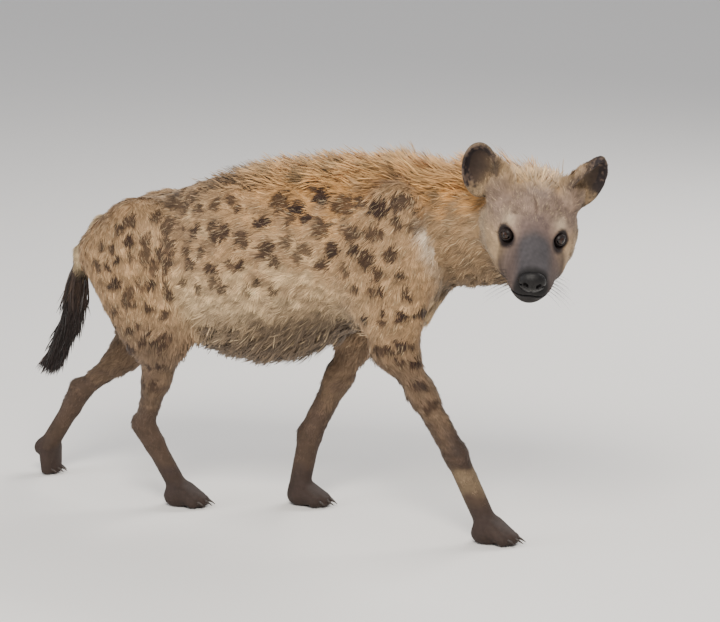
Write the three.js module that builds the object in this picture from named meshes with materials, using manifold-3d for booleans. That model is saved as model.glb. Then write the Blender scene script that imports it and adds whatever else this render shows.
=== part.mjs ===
// A spotted hyena, life size, walking with its head turned to its right.
// Millimetres, +X towards the chest, +Y to the animal's left, +Z up.
// The flesh is one smooth field of rounded masses round named joints. The field is meshed
// region by region, and each region is parted from the next by a thin flat cut.
import * as THREE from "three";
import { mergeVertices } from "three/addons/utils/BufferGeometryUtils.js";
import Module from "manifold-3d";

const wasm = await Module();
wasm.setup();

const GAP = 0.3;
const FAR = 3000;
const vec = (x, y, z) => new THREE.Vector3(x, y, z);
const UP = vec(0, 0, 1);
const LEFT = vec(0, 1, 0);

// Joints of each leg: the shoulder or hip, elbow or knee, carpus or hock, the ball of the paw,
// and the middle of the toes.
const LEGS = {
  fore_right: {
    root: vec(300, -88, 540), bend: vec(288, -100, 385), wrist: vec(410, -82, 178),
    ball: vec(468, -70, 50), toe: vec(524, -68, 13),
  },
  fore_left: {
    root: vec(255, 85, 540), bend: vec(118, 92, 368), wrist: vec(12, 66, 150),
    ball: vec(-8, 58, 42), toe: vec(46, 56, 13),
  },
  hind_right: {
    root: vec(-305, -80, 560), bend: vec(-225, -112, 372), wrist: vec(-300, -80, 168),
    ball: vec(-236, -62, 46), toe: vec(-182, -58, 13),
  },
  hind_left: {
    root: vec(-320, 80, 560), bend: vec(-375, 112, 330), wrist: vec(-545, 84, 190),
    ball: vec(-626, 76, 62), toe: vec(-614, 74, 12),
  },
};
const isFore = (name) => name.startsWith("fore");

// The head's own frame has its origin midway between the eyes, +x to the nose, +z to the crown.
const HEAD_AT = vec(609.5, -168, 644);
const HEAD_TURN = { yaw: -66, pitch: 25, roll: -6.5 };
const EYE_SPREAD = 49.5;
const EYE_R = 12.5;
const EAR_THICK = 22;
const EARS = {
  ear_right: {
    at: vec(-98, -112, 76), wide: 37, tall: 64, yaw: -4, lean: 8, rootNormal: vec(0, -0.78, 0.62),
  },
  ear_left: {
    at: vec(-98, 97, 76), wide: 41, tall: 65, yaw: 25, lean: -9, rootNormal: vec(0, 0.78, 0.62),
    brow: 25,
  },
};

const FUR = "#b59a78";
const COLOURS = {
  torso: FUR, neck: "#b8935f", head: "#a39383", nose: "#17130f", eye: "#140d09",
  ear: "#4a423d", tail: "#b9a184", tuft: "#17100e", upper: "#9b8268", lower: "#6f5a4a",
  paw: "#54403a",
};

// Rounded masses and how they blend.
function smin(a, b, k) {
  const h = Math.min(1, Math.max(0, 0.5 + (0.5 * (b - a)) / k));
  return b * (1 - h) + a * h - k * h * (1 - h);
}
const smax = (a, b, k) => -smin(-a, -b, k);
const blend = (k, values) => values.reduce((a, b) => smin(a, b, k));

function turn({ yaw = 0, pitch = 0, roll = 0 }) {
  const [y, p, r] = [yaw, pitch, roll].map(THREE.MathUtils.degToRad);
  return new THREE.Matrix4()
    .makeRotationZ(y)
    .multiply(new THREE.Matrix4().makeRotationY(p))
    .multiply(new THREE.Matrix4().makeRotationX(r));
}

// An ellipsoid with radii (rx, ry, rz), turned by a matrix when one is given.
function ball(centre, rx, ry, rz, matrix) {
  const back = matrix ? matrix.clone().invert() : null;
  const q = vec(0, 0, 0);
  return (p) => {
    q.subVectors(p, centre);
    if (back) q.applyMatrix4(back);
    const k0 = Math.hypot(q.x / rx, q.y / ry, q.z / rz);
    const k1 = Math.hypot(q.x / rx ** 2, q.y / ry ** 2, q.z / rz ** 2);
    return (k0 * (k0 - 1)) / Math.max(k1, 1e-9);
  };
}

// A round cone from a to b. flat squeezes it sideways, below 1, or widens it, above 1.
function cone(a, b, ra, rb, flat = 1) {
  const along = b.clone().sub(a);
  const length2 = along.lengthSq();
  const q = vec(0, 0, 0);
  return (p) => {
    q.subVectors(p, a);
    const t = Math.min(1, Math.max(0, q.dot(along) / length2));
    q.addScaledVector(along, -t);
    q.y /= flat;
    return (q.length() - (ra + (rb - ra) * t)) * Math.min(1, flat);
  };
}

const join = (k, ...masses) => (p) => blend(k, masses.map((m) => m(p)));
// Masses given as [blend width, mass], each blended on to what comes before it.
const build = (first, ...rest) => (p) => rest.reduce((f, [k, m]) => smin(f, m(p), k), first(p));
const mirrored = (mass) => {
  const q = vec(0, 0, 0);
  return (p) => mass(q.set(p.x, Math.abs(p.y), p.z));
};
const plus = (p, x, y, z) => p.clone().add(vec(x, y, z));
const between = (a, b, t) => a.clone().lerp(b, t);

const torsoFlesh = join(
  60,
  ball(vec(105, 0, 563), 255, 146, 166),
  ball(vec(-60, 0, 496), 230, 164, 180),
  ball(vec(-95, 0, 598), 205, 114, 102),
  ball(vec(-305, 0, 528), 146, 116, 112),
  ball(vec(215, 0, 632), 150, 90, 98),
  ball(vec(246, 0, 510), 94, 110, 126),
);
const neckFlesh = build(
  cone(vec(280, 0, 632), vec(528, -35, 634), 108, 106, 0.88),
  [30, cone(vec(320, 0, 580), vec(515, -38, 606), 92, 96, 0.8)],
);
const trunk = build(torsoFlesh, [50, neckFlesh]);

function foreleg({ root, bend, wrist, ball: ballAt }) {
  return build(
    ball(plus(root, -35, 0, 45), 80, 50, 140, turn({ pitch: 14 })),
    [40, cone(root, bend, 70, 52, 0.72)],
    [40, cone(plus(root, -60, 0, 20), plus(bend, -18, 0, 12), 66, 42, 0.6)],
    [25, cone(bend, between(bend, wrist, 0.45), 42, 34, 0.85)],
    [20, cone(between(bend, wrist, 0.4), wrist, 34, 29, 0.9)],
    [14, cone(wrist, ballAt, 28, 24, 0.95)],
  );
}
function hindleg({ root, bend, wrist, ball: ballAt }) {
  return build(
    ball(plus(between(root, bend, 0.4), -12, 0, 10), 98, 60, 145, turn({ pitch: -18 })),
    [40, cone(root, bend, 92, 56, 0.62)],
    [45, cone(plus(root, -90, 0, -40), plus(bend, -62, 0, -20), 62, 42, 0.7)],
    [30, cone(bend, between(bend, wrist, 0.5), 52, 36, 0.8)],
    [20, cone(between(bend, wrist, 0.45), wrist, 36, 25, 0.85)],
    [14, cone(plus(wrist, -10, 0, 6), between(wrist, ballAt, 0.3), 24, 23, 0.85)],
    [14, cone(wrist, ballAt, 25, 22, 0.95)],
  );
}

// Where the four toes of a paw start and end. A paw that is pushing off stands on its toes.
const TOE_PLACES = [-1.5, -0.5, 0.5, 1.5];
function toesOf({ ball: ballAt, toe }) {
  const pushing = Math.abs(toe.z - ballAt.z) > Math.abs(toe.x - ballAt.x);
  const ahead = toe.clone().sub(ballAt).setZ(0).normalize();
  const side = pushing ? LEFT : vec(-ahead.y, ahead.x, 0);
  return TOE_PLACES.map((k) => {
    const inner = Math.abs(k) < 1;
    if (pushing)
      return {
        from: plus(ballAt, 4, 0, -6).addScaledVector(side, k * 11),
        to: plus(toe, inner ? 4 : -5, 0, 0).addScaledVector(side, k * 14),
        r0: 19, r1: 14, ahead: vec(1, 0, 0),
      };
    return {
      from: plus(ballAt, 0, 0, -14).addScaledVector(ahead, 18).addScaledVector(side, k * 12),
      to: toe.clone().addScaledVector(side, k * 15).addScaledVector(ahead, inner ? 4 : -8),
      r0: 17, r1: 14.5, ahead,
    };
  });
}
function paw(joints) {
  const { ball: ballAt, toe } = joints;
  const pushing = Math.abs(toe.z - ballAt.z) > Math.abs(toe.x - ballAt.x);
  const ahead = toe.clone().sub(ballAt).setZ(0).normalize();
  const pad = pushing
    ? ball(plus(ballAt, -13, 0, -6), 20, 28, 20)
    : ball(ballAt.clone().setZ(20).addScaledVector(ahead, 8), 36, 34, 27);
  return build(pad, ...toesOf(joints).map(({ from, to, r0, r1 }) => [7, cone(from, to, r0, r1)]));
}

// One leg with the trunk that it grows from.
const legField = {};
for (const [name, joints] of Object.entries(LEGS)) {
  const flesh = isFore(name) ? foreleg(joints) : hindleg(joints);
  legField[name] = build(trunk, [45, flesh], [14, paw(joints)]);
}

const TAIL = [[vec(-436, 0, 560), 34], [vec(-484, 0, 505), 25], [vec(-500, 0, 440), 20]];
const chain = (k, stops) =>
  join(k, ...stops.slice(1).map(([at, r], i) => cone(stops[i][0], at, stops[i][1], r)));
const tailFlesh = chain(10, TAIL);

const headFlesh = (() => {
  const flesh = build(
    ball(vec(-80, 0, -6), 88, 80, 64),
    [25, ball(vec(-38, 0, 6), 60, 60, 36)],
    [28, ball(vec(-66, 56, -34), 62, 38, 54)],
    [26, ball(vec(-12, 42, -48), 64, 32, 42)],
    [18, ball(vec(-94, 68, 34), 34, 29, 35)],
    [12, cone(vec(-100, 56, 56), vec(-100, 80, 94), 13, 7)],
    [26, cone(vec(-5, 0, -20), vec(82, 0, -38), 46, 37)],
    [20, cone(vec(-5, 0, 4), vec(92, 0, -17), 24, 20, 1.35)],
    [14, ball(vec(60, 24, -47), 54, 25, 28, turn({ yaw: -8, pitch: 8 }))],
    [20, cone(vec(-45, 0, -88), vec(76, 0, -75), 42, 24, 1.2)],
    [12, ball(vec(-12, 40, 12), 26, 18, 12)],
    [7, ball(vec(108, 0, -27), 20, 27, 21)],
  );
  const socket = ball(vec(8, EYE_SPREAD + 2, 0), 13, 15, 13);
  return mirrored((p) => smax(flesh(p), -socket(p), 8));
})();

// A paddle, hollowed on its own +x side, with its tip at +z. An ear with a brow is cut straight
// along its upper inner edge, at that distance from its middle, which gives it a point.
const EAR_BROW = vec(0, -0.8, 0.6);
function earFlesh({ at, wide, tall, yaw, lean, brow = 100 }) {
  const frame = turn({ roll: lean }).multiply(turn({ yaw })).setPosition(at);
  const back = frame.clone().invert();
  const outer = ball(vec(0, 0, 0), EAR_THICK, wide, tall);
  const hollow = ball(vec(13, 0, 4), EAR_THICK + 3, wide - 7, tall - 9);
  const q = vec(0, 0, 0);
  const shape = (p) => {
    q.copy(p).applyMatrix4(back);
    const over = q.dot(EAR_BROW) - brow;
    const whole = smax(outer(q), over, 6);
    return smax(smax(whole, -smax(hollow(q), over + 7, 8), 4), q.x - 9, 3);
  };
  return { shape, frame };
}

const HEAD_FRAME = turn(HEAD_TURN).setPosition(HEAD_AT);
const TO_HEAD = HEAD_FRAME.clone().invert();
const inHead = (mass) => {
  const q = vec(0, 0, 0);
  return (p) => mass(q.copy(p).applyMatrix4(TO_HEAD));
};
const headInWorld = inHead(headFlesh);
const ears = Object.entries(EARS).map(([name, ear]) => [name, ear, earFlesh(ear)]);
const headAndEars = (p) => ears.reduce((f, [, , { shape }]) => smin(f, shape(p), 9), headFlesh(p));

const wholeBody = (p) => {
  const legs = Object.values(legField).map((f) => f(p));
  return smin(smin(Math.min(...legs), headInWorld(p), 30), tailFlesh(p), 25);
};

// Meshing a field by surface nets on a grid whose lines may be spaced as the form needs.
// The vertices are then moved on to the surface.
function gridLine(stops) {
  const line = [];
  stops.slice(1).forEach(([end, step], i) => {
    const start = stops[i][0];
    const count = Math.max(1, Math.round((end - start) / step));
    for (let n = 0; n < count; n += 1) line.push(start + ((end - start) * n) / count);
  });
  line.push(stops[stops.length - 1][0]);
  return line;
}
const evenly = (low, high, step) => gridLine([[low], [high, step]]);

function slope(field, p, h = 0.5) {
  const at = (x, y, z) => field(vec(p.x + x, p.y + y, p.z + z));
  return vec(
    at(h, 0, 0) - at(-h, 0, 0),
    at(0, h, 0) - at(0, -h, 0),
    at(0, 0, h) - at(0, 0, -h),
  ).divideScalar(2 * h);
}

const CORNERS = [0, 1, 2, 3, 4, 5, 6, 7].map((n) => [n & 1, (n >> 1) & 1, n >> 2]);
const CELL_EDGES = CORNERS.flatMap((a, i) =>
  CORNERS.map((b, j) => [i, j]).filter(
    ([, j]) => j > i && a.reduce((s, v, k) => s + Math.abs(v - CORNERS[j][k]), 0) === 1,
  ),
);

// Where two corners of a grid square lie inside across its diagonal, a third is taken in too.
// No edge of the mesh is then shared by more than two faces.
function fillDiagonals(values, size, index) {
  const unit = [[1, 0, 0], [0, 1, 0], [0, 0, 1]];
  let changed = true;
  while (changed) {
    changed = false;
    for (let k = 1; k < size[2] - 1; k += 1)
      for (let j = 1; j < size[1] - 1; j += 1)
        for (let i = 1; i < size[0] - 1; i += 1)
          for (let axis = 0; axis < 3; axis += 1) {
            const u = unit[(axis + 1) % 3];
            const w = unit[(axis + 2) % 3];
            const at = (a, b) =>
              index(i + a * u[0] + b * w[0], j + a * u[1] + b * w[1], k + a * u[2] + b * w[2]);
            const ring = [at(0, 0), at(1, 0), at(1, 1), at(0, 1)];
            const inside = ring.map((n) => values[n] < 0);
            if (inside[0] !== inside[2] || inside[1] !== inside[3]) continue;
            if (inside[0] === inside[1]) continue;
            const open = ring.filter((n, m) => !inside[m]);
            const nearest = values[open[0]] < values[open[1]] ? open[0] : open[1];
            values[nearest] = -0.05;
            changed = true;
          }
  }
}

function meshField(field, xs, ys, zs) {
  const size = [xs.length, ys.length, zs.length];
  const index = (i, j, k) => (k * size[1] + j) * size[0] + i;
  const values = new Float64Array(size[0] * size[1] * size[2]);
  const p = vec(0, 0, 0);
  for (let k = 0; k < size[2]; k += 1)
    for (let j = 0; j < size[1]; j += 1)
      for (let i = 0; i < size[0]; i += 1) {
        const value = field(p.set(xs[i], ys[j], zs[k]));
        const edge = [i, j, k].some((n, a) => n === 0 || n === size[a] - 1);
        values[index(i, j, k)] = edge ? Math.max(value, 2) : value;
      }
  fillDiagonals(values, size, index);
  const vertexOf = new Map();
  const positions = [];
  const point = ([i, j, k]) => vec(xs[i], ys[j], zs[k]);
  for (let k = 0; k < size[2] - 1; k += 1)
    for (let j = 0; j < size[1] - 1; j += 1)
      for (let i = 0; i < size[0] - 1; i += 1) {
        const corner = CORNERS.map(([a, b, c]) => [i + a, j + b, k + c]);
        const value = corner.map(([a, b, c]) => values[index(a, b, c)]);
        const inside = value.filter((v) => v < 0).length;
        if (inside === 0 || inside === 8) continue;
        const sum = vec(0, 0, 0);
        let crossings = 0;
        for (const [a, b] of CELL_EDGES) {
          if (value[a] < 0 === value[b] < 0) continue;
          sum.add(point(corner[a]).lerp(point(corner[b]), value[a] / (value[a] - value[b])));
          crossings += 1;
        }
        sum.divideScalar(crossings);
        const atEdge = corner.some((c) => c.some((n, a) => n === 0 || n === size[a] - 1));
        if (!atEdge)
          for (let pass = 0; pass < 2; pass += 1) {
            const g = slope(field, sum);
            const reach = Math.min(3, Math.max(-3, field(sum)));
            sum.addScaledVector(g, -reach / Math.max(g.lengthSq(), 0.2));
          }
        vertexOf.set(index(i, j, k), positions.length / 3);
        positions.push(sum.x, sum.y, sum.z);
      }
  const faces = [];
  const far = (a, b) =>
    Math.hypot(...[0, 1, 2].map((c) => positions[3 * a + c] - positions[3 * b + c]));
  const quad = (a, b, c, d) => {
    if (far(a, c) < far(b, d)) faces.push(a, b, c, a, c, d);
    else faces.push(a, b, d, b, c, d);
  };
  const unit = [[1, 0, 0], [0, 1, 0], [0, 0, 1]];
  for (let k = 0; k < size[2] - 1; k += 1)
    for (let j = 0; j < size[1] - 1; j += 1)
      for (let i = 0; i < size[0] - 1; i += 1)
        for (let axis = 0; axis < 3; axis += 1) {
          if ([i, j, k].some((n, a) => a !== axis && n === 0)) continue;
          const [dx, dy, dz] = unit[axis];
          const here = values[index(i, j, k)] < 0;
          if (here === values[index(i + dx, j + dy, k + dz)] < 0) continue;
          const u = unit[(axis + 1) % 3];
          const w = unit[(axis + 2) % 3];
          const cell = (a, b) =>
            vertexOf.get(
              index(i - a * u[0] - b * w[0], j - a * u[1] - b * w[1], k - a * u[2] - b * w[2]),
            );
          const loop = [cell(1, 1), cell(0, 1), cell(0, 0), cell(1, 0)];
          quad(...(here ? loop : loop.reverse()));
        }
  const geometry = new THREE.BufferGeometry();
  geometry.setAttribute("position", new THREE.Float32BufferAttribute(positions, 3));
  geometry.setIndex(faces);
  return geometry;
}

// Solids: joining and cutting closed meshes.
function solid(geometry, matrix) {
  const bare = new THREE.BufferGeometry();
  bare.setAttribute("position", geometry.getAttribute("position").clone());
  if (geometry.index) bare.setIndex(geometry.index.clone());
  if (matrix) bare.applyMatrix4(matrix);
  const merged = mergeVertices(bare, 1e-3);
  return new wasm.Manifold(
    new wasm.Mesh({
      numProp: 3,
      vertProperties: new Float32Array(merged.attributes.position.array),
      triVerts: new Uint32Array(merged.index.array),
    }),
  );
}
const largest = (made) =>
  made.decompose().reduce((a, b) => (b.volume() > a.volume() ? b : a));
function geometryOf(made) {
  const mesh = made.getMesh();
  const geometry = new THREE.BufferGeometry();
  const wide = mesh.numProp;
  const positions = new Float32Array(mesh.numVert * 3);
  for (let i = 0; i < mesh.numVert; i += 1)
    positions.set(mesh.vertProperties.subarray(i * wide, i * wide + 3), i * 3);
  geometry.setAttribute("position", new THREE.BufferAttribute(positions, 3));
  geometry.setIndex(new THREE.BufferAttribute(new Uint32Array(mesh.triVerts), 1));
  return geometry;
}

// A block with one face through a point. It fills the side that the normal points to.
function beyond(point, normal, { wide = FAR, deep = FAR, offset = 0 } = {}) {
  const box = new THREE.BoxGeometry(wide, wide, deep).translate(0, 0, deep / 2 + offset);
  const face = new THREE.Quaternion().setFromUnitVectors(UP, normal.clone().normalize());
  return solid(box, new THREE.Matrix4().compose(point, face, vec(1, 1, 1)));
}
const keepBeyond = (made, point, normal) =>
  made.intersect(beyond(point, normal, { offset: GAP / 2 }));
const keepBefore = (made, point, normal) => keepBeyond(made, point, normal.clone().negate());

// The block of space below a leg's root cut: a sloping top through two points of the side view.
function legSpace({ front, rear, from, to, side }, grow) {
  const rise = (front[1] - rear[1]) / (front[0] - rear[0]);
  const top = (x) => front[1] + rise * (x - front[0]) + grow;
  const [x0, x1] = [from - grow, to + grow];
  const outline = new THREE.Shape();
  outline.moveTo(x0, -50);
  outline.lineTo(x1, -50);
  outline.lineTo(x1, top(x1));
  outline.lineTo(x0, top(x0));
  const width = 250 + grow;
  const block = new THREE.ExtrudeGeometry(outline, { depth: width, bevelEnabled: false });
  block.rotateX(Math.PI / 2);
  block.translate(0, side > 0 ? width + 3 - grow : -3 + grow, 0);
  return solid(block);
}
const LEG_SPACES = {
  fore_right: { front: [365, 398], rear: [200, 338], from: 170, to: 640, side: -1 },
  fore_left: { front: [200, 368], rear: [60, 332], from: -80, to: 235, side: 1 },
  hind_right: { front: [-190, 352], rear: [-430, 444], from: -520, to: -95, side: -1 },
  hind_left: { front: [-235, 356], rear: [-440, 430], from: -760, to: -150, side: 1 },
};

// A flat, tapered lock of coat. Its root lies sunk in what it grows from.
// rings gives [share of the length, share of the width].
const LOCK_RINGS = [[0, 0.9], [0.4, 1], [0.75, 0.66]];
function lock({ root, out, lean, length, wide, thick, sink = 12 }) {
  const axis = out.clone().normalize();
  const bend = lean.clone().addScaledVector(axis, -lean.dot(axis));
  const across = vec(0, 0, 0).crossVectors(axis, bend).normalize();
  const through = vec(0, 0, 0).crossVectors(across, axis).normalize();
  const at = (t) =>
    root.clone().addScaledVector(axis, -sink + t * (length + sink))
      .addScaledVector(bend, t * t * length);
  const points = [];
  for (const [t, share] of LOCK_RINGS) {
    const c = at(t);
    points.push(c.clone().addScaledVector(across, (wide / 2) * share));
    points.push(c.clone().addScaledVector(through, (thick / 2) * share));
    points.push(c.clone().addScaledVector(across, (-wide / 2) * share));
    points.push(c.clone().addScaledVector(through, (-thick / 2) * share));
  }
  points.push(at(1));
  const faces = [0, 2, 1, 0, 3, 2];
  for (let ring = 0; ring < LOCK_RINGS.length - 1; ring += 1)
    for (let n = 0; n < 4; n += 1) {
      const [a, b] = [ring * 4 + n, ring * 4 + ((n + 1) % 4)];
      faces.push(a, b, b + 4, a, b + 4, a + 4);
    }
  const last = (LOCK_RINGS.length - 1) * 4;
  for (let n = 0; n < 4; n += 1) faces.push(last + n, last + ((n + 1) % 4), last + 4);
  const geometry = new THREE.BufferGeometry().setFromPoints(points);
  geometry.setIndex(faces);
  const made = solid(geometry);
  if (made.volume() > 0) return made;
  for (let i = 0; i < faces.length; i += 3) [faces[i], faces[i + 1]] = [faces[i + 1], faces[i]];
  geometry.setIndex(faces);
  return solid(geometry);
}
function seeded(seed) {
  let state = seed;
  return () => {
    state = (Math.imul(state, 1664525) + 1013904223) >>> 0;
    return state / 2 ** 32;
  };
}
// The point where a line from start along way first meets the flesh.
function meet(field, start, way) {
  const p = start.clone();
  for (let n = 0; n < 60; n += 1) p.addScaledVector(way, field(p) * 0.8);
  return p;
}

// The mane stands in rows along the nape and shoulders, and shortens towards the loins.
const MANE = { from: -75, to: 560, pitch: 47, rows: [-54, -18, 18, 54], height: 66 };
const NECK_CUT = { at: vec(372, 0, 620), normal: vec(1, 0, 0.12) };
const HEAD_CUT = { at: vec(545, -66, 655), normal: vec(0.6, -0.78, -0.2) };
function maneLocks(first, last) {
  const random = seeded(7);
  const locks = [];
  for (let x = MANE.from; x < MANE.to; x += MANE.pitch)
    MANE.rows.forEach((row, r) => {
      const along = x + (r % 2) * MANE.pitch * 0.5 + (random() - 0.5) * 8;
      const size = (0.9 + 0.2 * random()) * Math.min(1, (x - MANE.from) / 240 + 0.4);
      if (along < first || along > last) return;
      const middle = along > 400 ? -35 * ((along - 280) / 250) ** 2 : 0;
      const root = meet(trunk, vec(along, middle + row, 900), vec(0, 0, -1));
      const out = slope(trunk, root).normalize().lerp(vec(-0.55, 0, 0.85), 0.5);
      const height = MANE.height * size * (1 - Math.abs(row) / 170);
      locks.push(
        lock({ root, out, lean: vec(-0.75, row / 240, -0.25), length: height, wide: 42, thick: 10 }),
      );
    });
  return locks;
}

// Each region of the flesh, with grid lines close enough for its form.
const region = {
  torso: () => meshField(wholeBody, evenly(-530, 430, 42), evenly(-210, 210, 34.5),
    evenly(270, 800, 37)),
  neck: () => meshField(wholeBody, evenly(330, 640, 30), evenly(-190, 150, 26),
    evenly(450, 810, 28)),
  head: () => meshField(
    (p) => smin(headAndEars(p), neckFlesh(p.clone().applyMatrix4(HEAD_FRAME)), 30),
    gridLine([[-215], [-70, 26], [20, 18], [140, 16]]),
    gridLine([[-185], [-66, 24], [66, 15.6], [180, 24]]),
    gridLine([[-164], [-96, 20], [40, 15.5], [190, 25]]),
  ),
};

const nodes = {};
const trunkSolid = solid(region.torso());
let torso = keepBefore(trunkSolid, NECK_CUT.at, NECK_CUT.normal);
for (const space of Object.values(LEG_SPACES)) torso = torso.subtract(legSpace(space, GAP / 2));

// The legs, parted at the carpus or hock and at the ball of the paw.
const CLAW = { r: 4.2, length: 17 };
function clawsOf(joints) {
  return toesOf(joints).map(({ to, r1, ahead }) => {
    const shape = new THREE.ConeGeometry(CLAW.r, CLAW.length, 6).translate(0, CLAW.length / 2, 0);
    const way = ahead.clone().setZ(-0.35).normalize();
    const facing = new THREE.Quaternion().setFromUnitVectors(LEFT, way);
    const at = to.clone().addScaledVector(ahead, r1 - 5).setZ(Math.max(to.z, 10));
    return solid(shape, new THREE.Matrix4().compose(at, facing, vec(1, 1, 1)));
  });
}
for (const [name, joints] of Object.entries(LEGS)) {
  const { bend, wrist, ball: ballAt, toe } = joints;
  const field = legField[name];
  const space = LEG_SPACES[name];
  const low = Math.min(bend.x, wrist.x) - 105;
  const high = Math.max(bend.x, wrist.x) + 85;
  const [near, off] = [bend.y - 75, bend.y + 75];
  const upperFlesh = solid(
    meshField(field, evenly(low, high, 22), evenly(near, off, 19),
      evenly(wrist.z - 60, bend.z + 110, 30)),
  ).intersect(legSpace(space, -GAP / 2));
  const lowerNormal = ballAt.clone().sub(wrist).normalize();
  const upperNormal = wrist.clone().sub(bend).normalize().add(lowerNormal).normalize();
  const wristCut = wrist.clone().addScaledVector(lowerNormal, 6);
  nodes[`${name}_upper`] = [keepBefore(upperFlesh, wristCut, upperNormal), "upper"];

  const lowerFlesh = solid(
    meshField(field, evenly(Math.min(wrist.x, ballAt.x) - 60, Math.max(wrist.x, ballAt.x) + 60, 13),
      evenly(wrist.y - 48, wrist.y + 60, 12), evenly(ballAt.z - 50, wrist.z + 70, 20)),
  );
  const pawCut = between(wrist, ballAt, 0.8);
  const lower = keepBefore(keepBeyond(lowerFlesh, wristCut, upperNormal), pawCut, lowerNormal);
  nodes[`${name}_lower`] = [lower, "lower"];

  const pawFlesh = solid(
    meshField(field, evenly(Math.min(ballAt.x, toe.x) - 62, Math.max(ballAt.x, toe.x) + 40, 12.5),
      evenly(toe.y - 52, toe.y + 52, 10.4), evenly(-32, pawCut.z + 50, 14)),
  );
  const withClaws = clawsOf(joints).reduce((a, b) => a.add(b), pawFlesh);
  const cut = keepBeyond(withClaws, pawCut, lowerNormal);
  nodes[`${name}_paw`] = [cut.intersect(beyond(vec(0, 0, 0), UP)), "paw"];
}

// The tail: a short furred root, and the black brush below it.
const TAIL_CUT = { at: vec(-468, 0, 540), normal: vec(-0.85, 0, -0.55) };
const BRUSH_CUT = { at: vec(-496, 0, 462), normal: vec(-0.2, 0, -1) };
const BRUSH = [[vec(-498, 0, 470), 17], [vec(-510, 0, 400), 19], [vec(-540, 0, 320), 17],
  [vec(-572, 0, 262), 8]];
const tailSpace = (grow) =>
  beyond(TAIL_CUT.at, TAIL_CUT.normal, { wide: 150, deep: 130, offset: -grow });
torso = torso.subtract(tailSpace(GAP / 2));
torso = maneLocks(-FAR, 352).reduce((a, b) => a.add(b), torso);
nodes.torso = [torso, "torso"];

const tailMesh = solid(
  meshField((p) => smin(trunk(p), tailFlesh(p), 25), evenly(-570, -420, 15), evenly(-60, 60, 13),
    evenly(400, 620, 18)),
);
const tailRoot = tailMesh.intersect(tailSpace(-GAP / 2));
nodes.tail_root = [keepBefore(tailRoot, BRUSH_CUT.at, BRUSH_CUT.normal), "tail"];

function brushLocks() {
  const random = seeded(11);
  const locks = [];
  const rings = [[0.08, 5], [0.42, 5], [0.76, 4]];
  const spine = new THREE.CatmullRomCurve3(BRUSH.map(([at]) => at));
  rings.forEach(([t, count], ring) => {
    for (let n = 0; n < count; n += 1) {
      const angle = ((n + 0.5 * (ring % 2)) / count) * 2 * Math.PI;
      const along = spine.getTangentAt(t);
      const away = vec(Math.cos(angle), Math.sin(angle), 0);
      away.addScaledVector(along, -away.dot(along)).normalize();
      const root = spine.getPointAt(t).addScaledVector(away, 12);
      locks.push(
        lock({
          root, out: along.clone().addScaledVector(away, 0.32),
          lean: away.clone().multiplyScalar(-0.22),
          length: (ring === 2 ? 76 : 98) * (0.9 + 0.2 * random()), wide: 32, thick: 9, sink: 12,
        }),
      );
    }
  });
  return locks;
}
const brushCore = solid(
  meshField(chain(14, BRUSH), evenly(-600, -460, 15), evenly(-40, 40, 13), evenly(235, 500, 26)),
);
const brush = brushLocks().reduce((a, b) => a.add(b), brushCore);
nodes.tail_brush = [keepBeyond(brush, BRUSH_CUT.at, BRUSH_CUT.normal), "tuft"];

// The neck carries its own share of the mane.
const neckFleshMesh = solid(region.neck());
let neck = keepBefore(keepBeyond(neckFleshMesh, NECK_CUT.at, NECK_CUT.normal),
  HEAD_CUT.at, HEAD_CUT.normal);
for (const made of maneLocks(392, FAR)) neck = neck.add(made);
neck = keepBefore(keepBeyond(neck, NECK_CUT.at, NECK_CUT.normal), HEAD_CUT.at, HEAD_CUT.normal);
nodes.neck = [neck, "neck"];

// The head, worked in its own frame.
const headNormal = HEAD_CUT.normal.clone().transformDirection(TO_HEAD);
const headCutAt = HEAD_CUT.at.clone().applyMatrix4(TO_HEAD);
let head = keepBeyond(solid(region.head()), headCutAt, headNormal);

// Lids: a cap over each eye, opened by an almond slit.
const LID = 2.6;
const SLIT = { half: 12.5, high: 8.4 };
const EYE_OUT = vec(0.74, 0.62, 0.1);
for (const side of [-1, 1]) {
  const eyeAt = vec(0, side * EYE_SPREAD, 0);
  const cap = new THREE.SphereGeometry(EYE_R + LID, 12, 9).translate(eyeAt.x, eyeAt.y, eyeAt.z);
  head = head.add(solid(cap));
  const almond = new THREE.Shape();
  almond.moveTo(-SLIT.half, -1);
  almond.quadraticCurveTo(0, 2 * SLIT.high, SLIT.half, 0);
  almond.quadraticCurveTo(0, -2 * SLIT.high, -SLIT.half, -1);
  const opening = new THREE.ExtrudeGeometry(almond, {
    depth: 40, bevelEnabled: false, curveSegments: 6,
  });
  const out = vec(EYE_OUT.x, EYE_OUT.y * side, EYE_OUT.z).normalize();
  const across = vec(0, 0, 0).crossVectors(UP, out).normalize();
  const high = vec(0, 0, 0).crossVectors(out, across);
  const facing = new THREE.Matrix4().makeBasis(across, high, out).setPosition(eyeAt);
  head = head.subtract(solid(opening, facing));
  const hollow = new THREE.SphereGeometry(EYE_R + 0.8, 16, 12);
  head = head.subtract(solid(hollow, new THREE.Matrix4().setPosition(eyeAt)));
  const eye = solid(new THREE.SphereGeometry(EYE_R, 12, 8),
    HEAD_FRAME.clone().multiply(new THREE.Matrix4().setPosition(eyeAt)));
  nodes[side < 0 ? "eye_right" : "eye_left"] = [eye, "eye"];
}

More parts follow.
